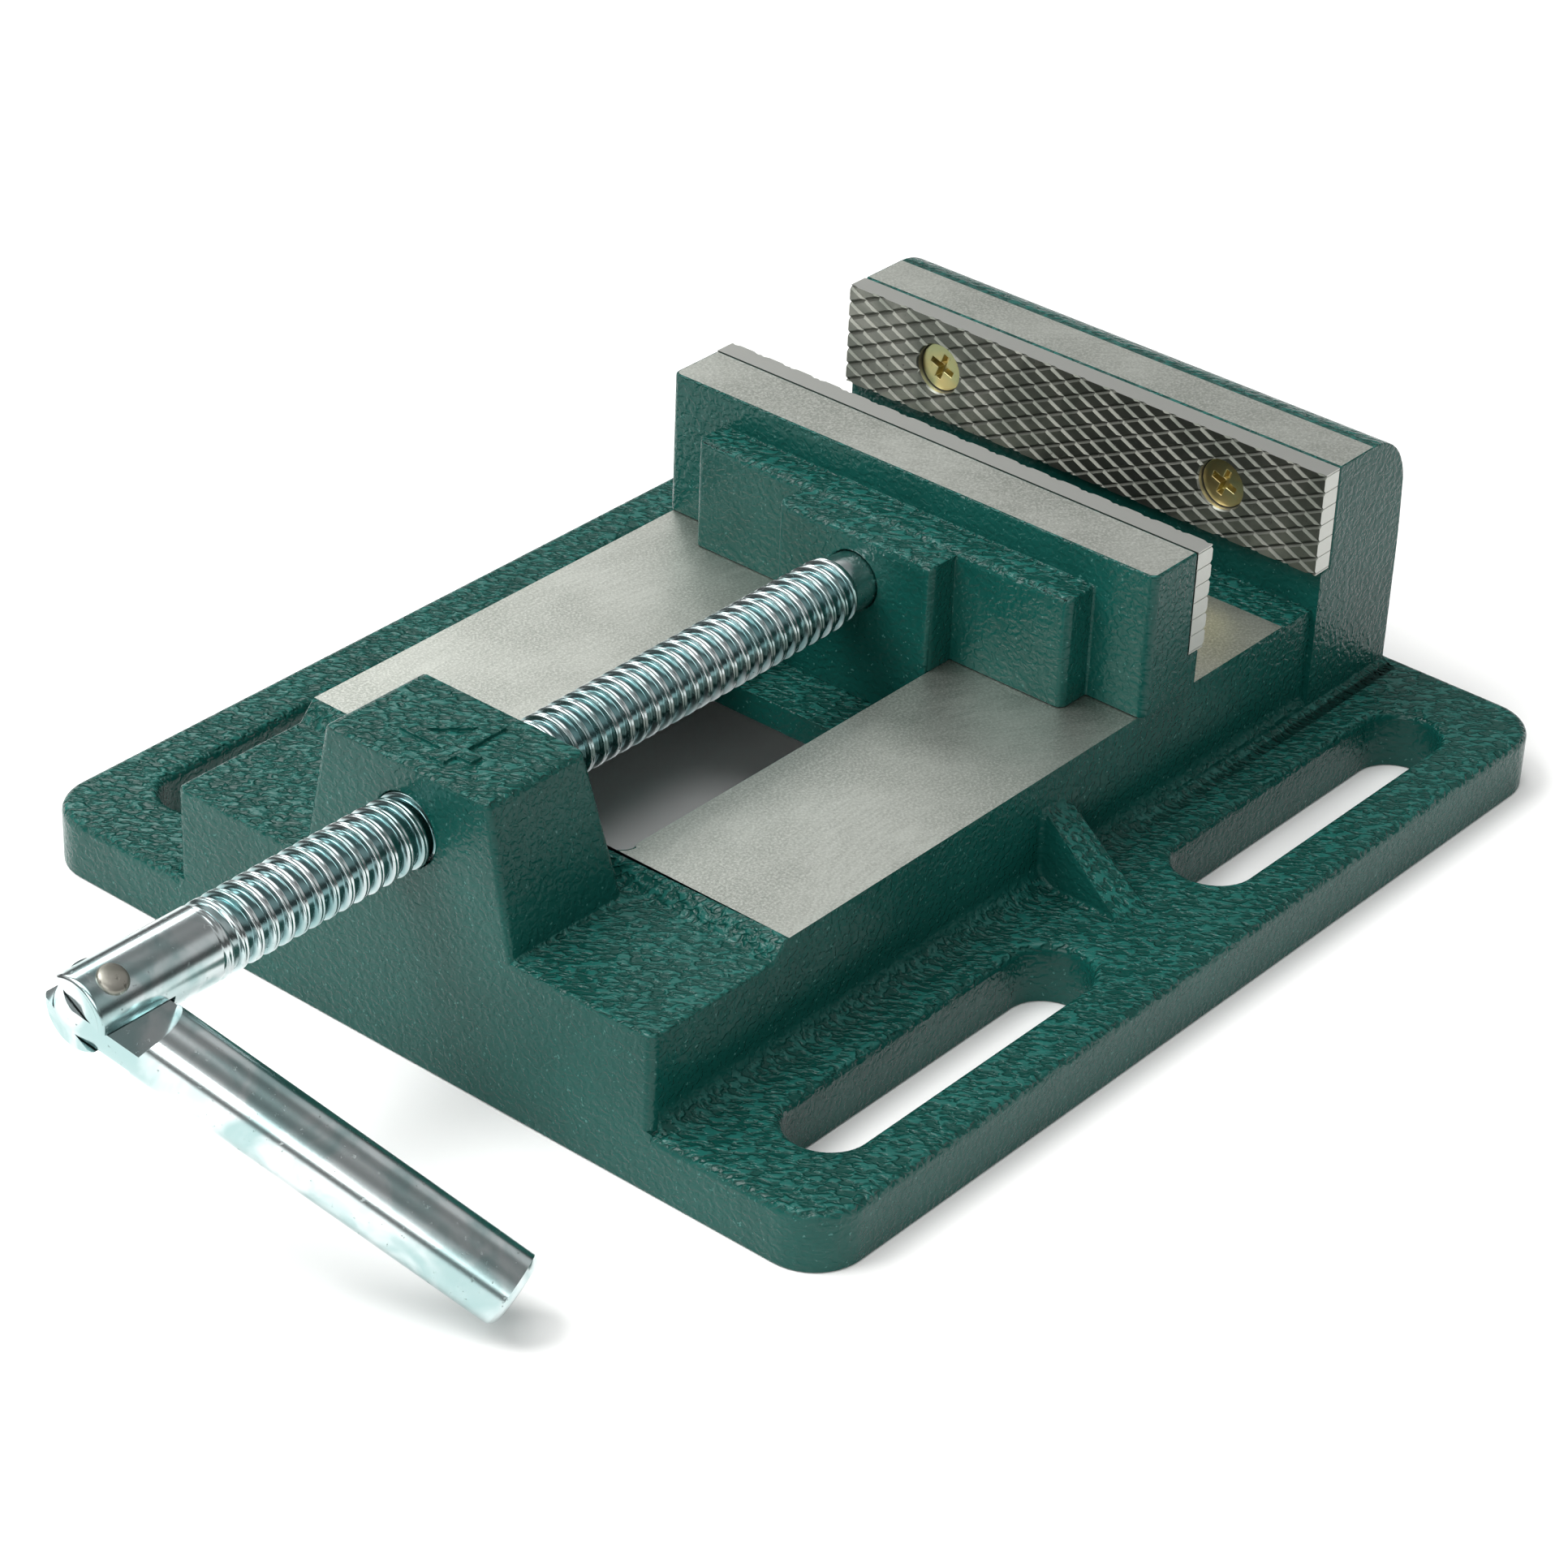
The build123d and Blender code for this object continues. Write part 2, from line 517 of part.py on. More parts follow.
# Handle: a round bar with a flat tongue milled on its end, round about the rivet
with BuildPart() as handle_bar:
    with BuildSketch(HANDLE_PLANE.offset(-HANDLE_R)):
        Circle(HANDLE_R)
    extrude(amount=HANDLE_LENGTH + HANDLE_R)
    chamfer(handle_bar.edges().sort_by(Axis(RIVET_POINT, HANDLE_AXIS))[-1], HANDLE_CHAMFER)
    for face in (1, -1):
        with BuildSketch(RIVET_PLANE.offset(face * TONGUE_THICKNESS / 2)):
            Circle(TONGUE_SHOULDER_R)
        extrude(amount=face * HANDLE_R * 1.5, mode=Mode.SUBTRACT)
    with BuildSketch(RIVET_PLANE.offset(-HANDLE_R)):
        with Locations((HANDLE_LENGTH / 2, 0)):
            Rectangle(HANDLE_LENGTH, 3 * HANDLE_R)
        Circle(HANDLE_R)
    extrude(amount=2 * HANDLE_R, mode=Mode.INTERSECT)
    with BuildSketch(RIVET_PLANE.offset(-HANDLE_R)):
        Circle(RIVET_R + RIVET_GAP)
    extrude(amount=2 * HANDLE_R, mode=Mode.SUBTRACT)
handle_bar.part.label = "handle_bar"

# Rivet: fast in the fork, with a low domed head at each end
with BuildPart() as handle_rivet:
    with BuildSketch(FORK_PLANE.offset(-SCREW_R - RIVET_HEAD_HEIGHT)):
        Circle(RIVET_HEAD_R)
    extrude(amount=2 * (SCREW_R + RIVET_HEAD_HEIGHT))
    fillet(handle_rivet.edges().filter_by(GeomType.CIRCLE), RIVET_HEAD_HEIGHT / 2)
    with BuildSketch(screw_plane(RIVET_X - RIVET_HEAD_R - 1)):
        Circle(SCREW_R)
    extrude(amount=2 * RIVET_HEAD_R + 2, mode=Mode.SUBTRACT)
    with BuildSketch(FORK_PLANE.offset(-SCREW_R)):
        Circle(RIVET_R)
    extrude(amount=2 * SCREW_R)
handle_rivet.part.label = "handle_rivet"

pieces = [
    base_casting.part, moving_jaw.part, fixed_jaw_plate.part, moving_jaw_plate.part,
    keeper_plate.part, lead_screw.part, screw_retaining_pin.part, handle_bar.part,
    handle_rivet.part, *plate_screws, *keeper_hardware,
]
for piece in pieces:
    export_step(piece, f"parts/{piece.label}.step")
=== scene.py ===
import math

import bmesh
import bpy
import numpy as np
from mathutils import Matrix, Vector
from mathutils.bvhtree import BVHTree


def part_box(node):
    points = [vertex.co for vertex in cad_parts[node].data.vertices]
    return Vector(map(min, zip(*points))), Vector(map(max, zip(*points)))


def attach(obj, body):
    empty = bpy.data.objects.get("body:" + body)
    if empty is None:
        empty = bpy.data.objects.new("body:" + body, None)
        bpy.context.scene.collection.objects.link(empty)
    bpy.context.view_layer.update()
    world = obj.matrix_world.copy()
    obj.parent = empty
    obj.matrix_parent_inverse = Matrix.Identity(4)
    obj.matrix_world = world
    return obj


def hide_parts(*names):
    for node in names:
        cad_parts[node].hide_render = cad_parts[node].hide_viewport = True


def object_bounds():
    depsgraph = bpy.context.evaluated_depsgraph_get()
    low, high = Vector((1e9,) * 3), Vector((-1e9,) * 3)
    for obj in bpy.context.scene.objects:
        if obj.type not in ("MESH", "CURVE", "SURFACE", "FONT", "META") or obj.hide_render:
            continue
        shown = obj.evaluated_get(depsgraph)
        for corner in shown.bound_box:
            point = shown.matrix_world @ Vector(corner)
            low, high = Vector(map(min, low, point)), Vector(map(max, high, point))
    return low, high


# Four-inch drill-press vise. +X runs from the handle to the fixed jaw, +Z is up.
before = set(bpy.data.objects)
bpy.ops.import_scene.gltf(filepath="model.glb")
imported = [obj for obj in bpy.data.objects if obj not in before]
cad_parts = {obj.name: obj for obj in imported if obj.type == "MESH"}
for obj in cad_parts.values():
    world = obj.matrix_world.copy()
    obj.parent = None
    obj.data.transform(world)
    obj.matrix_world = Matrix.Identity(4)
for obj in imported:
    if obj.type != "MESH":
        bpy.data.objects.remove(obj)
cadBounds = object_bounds()
mm = 0.001


def newMesh(name, verts, faces):
    # verts is an array of points in metres, faces a list of index arrays or lists
    mesh = bpy.data.meshes.new(name)
    mesh.from_pydata(verts.reshape(-1, 3), [], faces)
    mesh.update()
    piece = bpy.data.objects.new(name, mesh)
    bpy.context.scene.collection.objects.link(piece)
    return piece


def gridFaces(nu, nv, wrapV=False):
    # quads of a grid of nu rows and nv columns, row by row; wrapV joins the last column to the first
    i = np.arange(nu - 1)[:, None]
    j = np.arange(nv if wrapV else nv - 1)[None, :]
    k = (j + 1) % nv
    quads = np.stack([i * nv + j, i * nv + k, (i + 1) * nv + k, (i + 1) * nv + j], axis=-1)
    return quads.reshape(-1, 4).tolist()


def axisFrame(axis):
    # two unit vectors square to the axis, so that side, up and axis turn right-handed
    axis = Vector(axis).normalized()
    helper = Vector((0, 0, 1)) if abs(axis.z) < 0.9 else Vector((0, 1, 0))
    side = helper.cross(axis).normalized()
    up = axis.cross(side)
    return np.array(side), np.array(up), np.array(axis)


def turnedPiece(name, stations, radii, origin, axis, around=96):
    # a point is origin + axis * station + (side cos angle + up sin angle) * radius(station)
    side, up, along = axisFrame(axis)
    radii = np.repeat(np.asarray(radii, float)[:, None], around, axis=1)
    nu, nv = radii.shape
    angle = np.arange(nv) * (2 * np.pi / nv)
    ring = np.cos(angle)[:, None] * side + np.sin(angle)[:, None] * up
    points = (np.array(origin) + np.asarray(stations, float)[:, None, None] * along
              + radii[:, :, None] * ring[None])
    faces = gridFaces(nu, nv, wrapV=True)
    faces.append(list(range(nv))[::-1])
    faces.append(list(range((nu - 1) * nv, nu * nv)))
    return newMesh(name, points, faces)


def boxPiece(name, low, high, turn=None):
    # a box between two opposite corners, then turned and moved by the matrix if there is one
    corners = np.array([[x, y, z] for x in (low[0], high[0]) for y in (low[1], high[1])
                        for z in (low[2], high[2])], float)
    faces = [(0, 1, 3, 2), (4, 6, 7, 5), (0, 4, 5, 1), (2, 3, 7, 6), (0, 2, 6, 4), (1, 5, 7, 3)]
    piece = newMesh(name, corners, faces)
    if turn is not None:
        piece.data.transform(turn)
    return piece


def applyModifiers(piece):
    graph = bpy.context.evaluated_depsgraph_get()
    mesh = bpy.data.meshes.new_from_object(piece.evaluated_get(graph))
    piece.modifiers.clear()
    piece.data = mesh


def rework(piece, change):
    # opens the piece's mesh for the change, a function, and puts the result back
    work = bmesh.new()
    work.from_mesh(piece.data)
    change(work)
    work.to_mesh(piece.data)
    work.free()


def combine(piece, tool, operation="DIFFERENCE", solver="MANIFOLD"):
    # cuts the piece with the tool, or joins them, and throws the tool away
    change = piece.modifiers.new("combine", "BOOLEAN")
    change.operation = operation
    change.solver = solver
    change.object = tool
    applyModifiers(piece)
    bpy.data.objects.remove(tool)


def readAll(items, key, width=1, kind=float):
    # one property of every vertex, edge, corner or face, width numbers each
    values = np.zeros(len(items) * width, kind)
    items.foreach_get(key, values)
    return values.reshape(-1, width) if width > 1 else values


def writeMask(mesh, name, domain, values):
    # a number kept on each POINT, EDGE or FACE
    attribute = mesh.attributes.new(name, "FLOAT", domain)
    attribute.data.foreach_set("value", np.asarray(values, np.float32).ravel())


def edgeFacts(mesh):
    # for each edge: its two ends, and the angle in degrees between the faces on its two sides
    points, normals = readAll(mesh.vertices, "co", 3), readAll(mesh.polygons, "normal", 3)
    ends = points[readAll(mesh.edges, "vertices", 2, np.int32)]
    loopEdge = readAll(mesh.loops, "edge_index", kind=np.int32)
    total = readAll(mesh.polygons, "loop_total", kind=np.int32)
    loopFace = np.repeat(np.arange(len(total)), total)
    order = np.argsort(loopEdge, kind="stable")
    each = np.arange(len(mesh.edges))
    first = np.searchsorted(loopEdge[order], each)
    last = np.searchsorted(loopEdge[order], each, side="right") - 1
    faceA, faceB = loopFace[order][first], loopFace[order][last]
    turn = np.degrees(np.arccos(np.clip((normals[faceA] * normals[faceB]).sum(1), -1, 1)))
    return ends, turn


def roundEdges(piece, weights, width, segments, clamp):
    # a bevel whose width on each edge is the full width times that edge's weight
    writeMask(piece.data, "bevel_weight_edge", "EDGE", weights)
    rounding = piece.modifiers.new("rounding", "BEVEL")
    rounding.limit_method = "WEIGHT"
    rounding.offset_type = "OFFSET"
    rounding.width = width
    rounding.segments = segments
    rounding.use_clamp_overlap = clamp
    applyModifiers(piece)


def softenEdges(piece, width, turnOver, where):
    # a small round on the edges that turn by more than that, in degrees, and whose middles the test picks
    ends, turn = edgeFacts(piece.data)
    roundEdges(piece, (turn > turnOver) & where(ends.mean(1)), width, 2, True)


weld = {
    "apart": 0.002 * mm, "flatTurn": math.radians(0.6), "turnOver": 40, "strayShare": 0.4, "stray": 0.02 * mm,
    "hair": 0.01 * mm,
}


def joinTriangles(work):
    # welds the corners and makes whole faces of the flat ones
    bmesh.ops.remove_doubles(work, verts=work.verts, dist=weld["apart"])
    bmesh.ops.dissolve_limit(work, angle_limit=weld["flatTurn"], verts=work.verts, edges=work.edges)


def castCopy(node, name, softness, segments=3, prepare=None):
    # a welded copy of a CAD node with its edges rounded: softness gives each edge its radius in metres,
    # and prepare changes the copy before that
    piece = bpy.data.objects.new(name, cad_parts[node].data.copy())
    bpy.context.scene.collection.objects.link(piece)
    rework(piece, joinTriangles)
    if prepare:
        prepare(piece)
    shape = bmesh.new()
    shape.from_mesh(piece.data)
    surface = BVHTree.FromBMesh(shape)
    shape.free()
    ends, turn = edgeFacts(piece.data)
    radius = np.where(turn > weld["turnOver"], softness(ends), 0.0)
    widest = float(radius.max())
    roundEdges(piece, radius / widest, widest, segments, False)
    # a corner that the rounding threw clear of the casting goes back onto its surface, or down to the rails
    railZ = casting["railZ"]
    for vert in piece.data.vertices:
        nearest, _, _, away = surface.find_nearest(vert.co)
        if away > weld["strayShare"] * widest + weld["stray"]:
            vert.co = nearest
        elif abs(nearest.z - railZ) < weld["hair"] and vert.co.z > railZ:
            vert.co.z = railZ
    return piece


def smooth(piece, degrees):
    # shading follows the largest face at each corner, so flats stay flat beside a small round
    piece.data.shade_smooth()
    piece.data.set_sharp_from_angle(angle=math.radians(degrees))
    weighted = piece.modifiers.new("weighted", "WEIGHTED_NORMAL")
    weighted.keep_sharp = True
    applyModifiers(piece)


def finishPiece(piece, body, node, material):
    piece.data.materials.clear()
    piece.data.materials.append(material)
    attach(piece, body)
    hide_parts(node)
    return piece


def put(tree, kind, settings=None, **links):
    # a node of that kind; settings are its own properties, links its inputs: a value or another node's socket
    node = tree.nodes.new(kind)
    for key, value in (settings or {}).items():
        setattr(node, key, value)
    for key, value in links.items():
        socket = node.inputs[int(key[2:])] if key.startswith("at") else node.inputs[key.replace("_", " ")]
        if isinstance(value, bpy.types.NodeSocket):
            tree.links.new(value, socket)
        else:
            socket.default_value = value
    return node


def calc(tree, operation, a, b=0.0, clamp=False):
    return put(tree, "ShaderNodeMath", {"operation": operation, "use_clamp": clamp}, at0=a, at1=b).outputs[0]


def blendColours(tree, share, a, b):
    return put(tree, "ShaderNodeMix", {"data_type": "RGBA"}, at0=share, at6=a, at7=b).outputs[2]


def blendValues(tree, share, a, b):
    return put(tree, "ShaderNodeMix", {"data_type": "FLOAT"}, at0=share, at2=a, at3=b).outputs[0]


def spread(tree, value, low, high, toLow=0.0, toHigh=1.0):
    # value from low to high comes out from toLow to toHigh, eased at both ends
    node = put(tree, "ShaderNodeMapRange", {"interpolation_type": "SMOOTHSTEP"},
               Value=value, From_Min=low, From_Max=high, To_Min=toLow, To_Max=toHigh)
    return node.outputs[0]


def effectGroup(name, inputs, outputs):
    # inputs and outputs are {name: default}; a default of three numbers is a vector, of four a colour
    tree = bpy.data.node_groups.new(name, "ShaderNodeTree")
    for side, sockets in (("INPUT", inputs), ("OUTPUT", outputs)):
        for key, value in sockets.items():
            size = len(value) if isinstance(value, tuple) else 1
            kind = {1: "NodeSocketFloat", 3: "NodeSocketVector", 4: "NodeSocketColor"}[size]
            socket = tree.interface.new_socket(name=key, in_out=side, socket_type=kind)
            socket.default_value = value
    return tree, tree.nodes.new("NodeGroupInput").outputs, tree.nodes.new("NodeGroupOutput").inputs


def useGroup(tree, group, **values):
    return put(tree, "ShaderNodeGroup", {"node_tree": group}, **values).outputs


def makeRippleGroup():
    # thick enamel that wrinkled as it dried: long warped ripples, with small round specks between them
    tree, given, out = effectGroup("enamelRipple", {"Place": (0.0, 0.0, 0.0), "Scale": 1000.0, "Warp": 0.5},
                                   {"Ripple": 0.0, "Speck": 0.0, "Mottle": 0.0})
    turned = put(tree, "ShaderNodeVectorRotate", {"rotation_type": "Z_AXIS"}, Vector=given["Place"],
                 Angle=math.radians(51)).outputs[0]
    stretched = put(tree, "ShaderNodeMapping", {}, Vector=turned, Scale=(0.6, 1.15, 1.0)).outputs[0]
    long = put(tree, "ShaderNodeTexNoise", {}, Vector=stretched, Scale=given["Scale"], Detail=1.6,
               Roughness=0.45, Distortion=given["Warp"]).outputs[0]
    cells = put(tree, "ShaderNodeTexVoronoi", {"feature": "SMOOTH_F1"}, Vector=stretched,
                Scale=calc(tree, "MULTIPLY", given["Scale"], 0.9), Smoothness=0.6).outputs[0]
    joined = calc(tree, "ADD", spread(tree, long, 0.36, 0.64), calc(tree, "MULTIPLY", cells, -0.35))
    tree.links.new(joined, out["Ripple"])
    fine = put(tree, "ShaderNodeTexNoise", {}, Vector=given["Place"], Scale=1500.0, Detail=1.0).outputs[0]
    tree.links.new(spread(tree, fine, 0.69, 0.78), out["Speck"])
    slow = put(tree, "ShaderNodeTexNoise", {}, Vector=given["Place"], Scale=70.0, Detail=3.0).outputs[0]
    tree.links.new(spread(tree, slow, 0.3, 0.7), out["Mottle"])
    return tree


def makeGrindGroup():
    # ground or milled metal: fine sparkle, swirled cutter arcs of a large radius and slow clouding
    tree, given, out = effectGroup("millMarks", {"Place": (0.0, 0.0, 0.0), "Turn": 0.6, "Centre": (0.0, 0.0, 0.0)},
                                   {"Sparkle": 0.0, "Arcs": 0.0, "Cloud": 0.0})
    fine = put(tree, "ShaderNodeTexNoise", {}, Vector=given["Place"], Scale=2300.0, Detail=3.0,
               Roughness=0.7).outputs[0]
    tree.links.new(fine, out["Sparkle"])
    turned = put(tree, "ShaderNodeVectorRotate", {"rotation_type": "Z_AXIS"}, Vector=given["Place"],
                 Angle=given["Turn"]).outputs[0]
    offset = put(tree, "ShaderNodeVectorMath", {"operation": "SUBTRACT"}, at0=turned, at1=given["Centre"]).outputs[0]
    parts = put(tree, "ShaderNodeSeparateXYZ", {}, Vector=offset).outputs
    # distance from the cutter's centre gives the arcs, and the angle round it breaks them up
    ring = calc(tree, "SQRT", calc(tree, "ADD", calc(tree, "MULTIPLY", parts[0], parts[0]),
                                   calc(tree, "MULTIPLY", parts[1], parts[1])))
    around = calc(tree, "ARCTAN2", parts[1], parts[0])
    swept = put(tree, "ShaderNodeCombineXYZ", {}, X=calc(tree, "MULTIPLY", ring, 1400.0),
                Y=calc(tree, "MULTIPLY", around, 9.0), Z=calc(tree, "MULTIPLY", parts[2], 300.0)).outputs[0]
    arcs = put(tree, "ShaderNodeTexNoise", {}, Vector=swept, Scale=1.0, Detail=3.0, Roughness=0.6).outputs[0]
    tree.links.new(arcs, out["Arcs"])
    slow = put(tree, "ShaderNodeTexNoise", {}, Vector=given["Place"], Scale=45.0, Detail=4.0,
               Roughness=0.55).outputs[0]
    tree.links.new(slow, out["Cloud"])
    return tree


def makeStainGroup():
    # plated or bare metal after handling: dark pits, slow bands of tint and a fine grain
    tree, given, out = effectGroup("platedStain", {"Place": (0.0, 0.0, 0.0), "Pits": 0.68, "Scale": 900.0},
                                   {"Pit": 0.0, "Band": 0.0, "Grain": 0.0})
    pit = put(tree, "ShaderNodeTexNoise", {}, Vector=given["Place"], Scale=given["Scale"], Detail=3.0,
              Roughness=0.6).outputs[0]
    pitHigh = calc(tree, "ADD", given["Pits"], 0.08)
    mask = put(tree, "ShaderNodeMapRange", {}, Value=pit, From_Min=given["Pits"], From_Max=pitHigh).outputs[0]
    tree.links.new(mask, out["Pit"])
    band = put(tree, "ShaderNodeTexNoise", {}, Vector=given["Place"], Scale=110.0, Detail=3.0,
               Distortion=0.8).outputs[0]
    tree.links.new(band, out["Band"])
    grain = put(tree, "ShaderNodeTexNoise", {}, Vector=given["Place"], Scale=2600.0, Detail=2.0).outputs[0]
    tree.links.new(grain, out["Grain"])
    return tree


enamelRipple = makeRippleGroup()
millMarks = makeGrindGroup()
platedStain = makeStainGroup()


def newMaterial(name):
    material = bpy.data.materials.new(name)
    material.use_nodes = True
    tree = material.node_tree
    tree.nodes.clear()
    shader = tree.nodes.new("ShaderNodeBsdfPrincipled")
    tree.links.new(shader.outputs[0], tree.nodes.new("ShaderNodeOutputMaterial").inputs[0])
    place = tree.nodes.new("ShaderNodeTexCoord").outputs
    return material, tree, shader, place


def feed(tree, shader, **links):
    for key, value in links.items():
        socket = shader.inputs[key.replace("_", " ")]
        if isinstance(value, bpy.types.NodeSocket):
            tree.links.new(value, socket)
        else:
            socket.default_value = value


castingFinish = {
    # on the upward faces the crest colour is the enamel with a painted highlight, the trough colour the enamel with
    # painted shade
    "enamelTroughShade": (0.003, 0.046, 0.037, 1), "enamelCrestHighlight": (0.013, 0.108, 0.091, 1),
    "enamelWall": (0.005, 0.068, 0.056, 1), "wallSpeck": (0.05, 0.17, 0.15, 1),
    "iron": (0.53, 0.55, 0.50, 1), "ironDark": (0.35, 0.37, 0.33, 1), "ironFleck": (0.66, 0.68, 0.63, 1),
    "rippleHeight": 0.00036, "wallHeight": 0.00008, "millHeight": 0.000008,
    "enamelRough": 0.24, "ironRough": 0.46, "streakDepth": 0.45, "gloss": 0.24, "mottleDepth": 0.22,
    "mottleColour": (0.0, 0.02, 0.016, 1),
}


def makeCastingMaterial(name, cutter):
    # green enamel everywhere, but bare milled iron where the attribute "milled" is 1; cutter is the arcs' centre
    look = castingFinish
    material, tree, shader, place = newMaterial(name)
    milled = put(tree, "ShaderNodeAttribute", {"attribute_name": "milled"}).outputs["Fac"]
    upward = put(tree, "ShaderNodeSeparateXYZ", {}, Vector=place["Normal"]).outputs[2]
    level = spread(tree, upward, 0.25, 0.8)
    ripple = useGroup(tree, enamelRipple, Place=place["Object"])
    marks = useGroup(tree, millMarks, Place=place["Object"], Centre=cutter)
    wall = blendColours(tree, ripple["Speck"], look["enamelWall"], look["wallSpeck"])
    # upward faces: the ripple's crests get a painted highlight and its troughs painted shade in the base colour,
    # beside the ripple's real bump
    top = blendColours(tree, ripple["Ripple"], look["enamelTroughShade"], look["enamelCrestHighlight"])
    enamel = blendColours(tree, level, wall, top)
    enamel = blendColours(tree, calc(tree, "MULTIPLY", ripple["Mottle"], look["mottleDepth"]), enamel,
                          look["mottleColour"])
    tone = spread(tree, marks["Cloud"], 0.35, 0.7)
    iron = blendColours(tree, tone, look["ironDark"], look["iron"])
    streak = calc(tree, "MULTIPLY", spread(tree, marks["Arcs"], 0.42, 0.62), look["streakDepth"])
    iron = blendColours(tree, streak, iron, look["ironDark"])
    iron = blendColours(tree, spread(tree, marks["Sparkle"], 0.35, 0.75), iron, look["ironFleck"])
    rough = calc(tree, "ADD", look["enamelRough"], calc(tree, "MULTIPLY", ripple["Speck"], -0.1))
    ironRough = calc(tree, "ADD", look["ironRough"], calc(tree, "MULTIPLY", marks["Arcs"], -0.10))
    height = calc(tree, "MULTIPLY", ripple["Ripple"],
                  calc(tree, "ADD", look["wallHeight"],
                       calc(tree, "MULTIPLY", level, look["rippleHeight"] - look["wallHeight"])))
    ironHeight = calc(tree, "MULTIPLY", calc(tree, "ADD", marks["Arcs"], marks["Sparkle"]), look["millHeight"])
    bump = put(tree, "ShaderNodeBump", {}, Height=blendValues(tree, milled, height, ironHeight),
               Strength=1.0, Distance=1.0).outputs[0]
    feed(tree, shader, Base_Color=blendColours(tree, milled, enamel, iron), Metallic=milled,
         Roughness=blendValues(tree, milled, rough, ironRough), Specular_IOR_Level=look["gloss"], Normal=bump)
    return material


def makePlatedMaterial(name, look):
    # plated steel: base tint shifts in slow bands towards the shade, pits go dark and rough; a thread's roots
    # get painted shade from their attribute, and "milled" marks ground faces
    material, tree, shader, place = newMaterial(name)
    stain = useGroup(tree, platedStain, Place=place["Object"], Pits=look["pits"], Scale=look["pitScale"])
    colour = blendColours(tree, spread(tree, stain["Band"], 0.35, 0.65), look["bright"], look["shade"])
    colour = blendColours(tree, calc(tree, "MULTIPLY", stain["Pit"], look["pitDepth"]), colour, look["pitColour"])
    rough = calc(tree, "ADD", look["rough"], calc(tree, "MULTIPLY", stain["Band"], look["roughSpread"]))
    rough = calc(tree, "ADD", rough, calc(tree, "MULTIPLY", stain["Pit"], 0.25), clamp=True)
    height = calc(tree, "SUBTRACT", calc(tree, "MULTIPLY", stain["Grain"], look["grainHeight"]),
                  calc(tree, "MULTIPLY", stain["Pit"], look["pitHeight"]))
    bump = put(tree, "ShaderNodeBump", {}, Height=height, Strength=1.0, Distance=1.0).outputs[0]
    if "rootShade" in look:
        # painted shade that darkens a thread's roots
        hollow = put(tree, "ShaderNodeAttribute", {"attribute_name": "rootShade"}).outputs["Fac"]
        colour = blendColours(tree, calc(tree, "MULTIPLY", hollow, 0.85), colour, look["rootShade"])
    if "ground" in look:
        milled = put(tree, "ShaderNodeAttribute", {"attribute_name": "milled"}).outputs["Fac"]
        colour = blendColours(tree, milled, colour, look["ground"])
        rough = blendValues(tree, milled, rough, look["groundRough"])
    feed(tree, shader, Base_Color=colour, Metallic=1.0, Roughness=rough, Normal=bump)
    return material


brightZinc = {
    "bright": (0.68, 0.745, 0.75, 1), "shade": (0.36, 0.50, 0.50, 1), "pitColour": (0.10, 0.12, 0.11, 1),
    # the teal-grey root colour is painted shade for the thread's roots
    "rootShade": (0.10, 0.24, 0.25, 1), "pits": 0.66, "pitScale": 1100.0, "pitDepth": 0.7,
    "rough": 0.13, "roughSpread": 0.12, "grainHeight": 0.000002, "pitHeight": 0.000008,
}
browned = {
    "bright": (0.34, 0.33, 0.29, 1), "shade": (0.20, 0.20, 0.17, 1), "pitColour": (0.05, 0.05, 0.04, 1),
    "pits": 0.62, "pitScale": 800.0, "pitDepth": 0.6, "rough": 0.34, "roughSpread": 0.2,
    "grainHeight": 0.00001, "pitHeight": 0.00002,
}
yellowZinc = {
    "bright": (0.62, 0.47, 0.20, 1), "shade": (0.40, 0.42, 0.22, 1), "pitColour": (0.12, 0.09, 0.04, 1),
    "pits": 0.66, "pitScale": 1300.0, "pitDepth": 0.5, "rough": 0.26, "roughSpread": 0.16,
    "grainHeight": 0.000012, "pitHeight": 0.00002,
}
plateSteel = {
    "bright": (0.20, 0.205, 0.18, 1), "shade": (0.13, 0.14, 0.12, 1), "pitColour": (0.05, 0.05, 0.045, 1),
    "pits": 0.66, "pitScale": 900.0, "pitDepth": 0.5, "rough": 0.32, "roughSpread": 0.2,
    "ground": (0.48, 0.49, 0.46, 1), "groundRough": 0.42,
    "grainHeight": 0.000012, "pitHeight": 0.00002,
}
blackSteel = {
    "bright": (0.10, 0.10, 0.10, 1), "shade": (0.05, 0.05, 0.05, 1), "pitColour": (0.02, 0.02, 0.02, 1),
    "pits": 0.66, "pitScale": 1100.0, "pitDepth": 0.5, "rough": 0.40, "roughSpread": 0.2,
    "grainHeight": 0.000012, "pitHeight": 0.00002,
}

baseMaterial = makeCastingMaterial("baseEnamelAndIron", (0.03, -0.10, 0.0))
jawMaterial = makeCastingMaterial("jawEnamelAndIron", (0.05, 0.06, 0.0))
zincMaterial = makePlatedMaterial("brightZinc", brightZinc)
rivetMaterial = makePlatedMaterial("brownedSteel", browned)
plateMaterial = makePlatedMaterial("hardenedPlate", plateSteel)
yellowMaterial = makePlatedMaterial("yellowZinc", yellowZinc)
boltMaterial = makePlatedMaterial("blackedSteel", blackSteel)
print("finishes made")


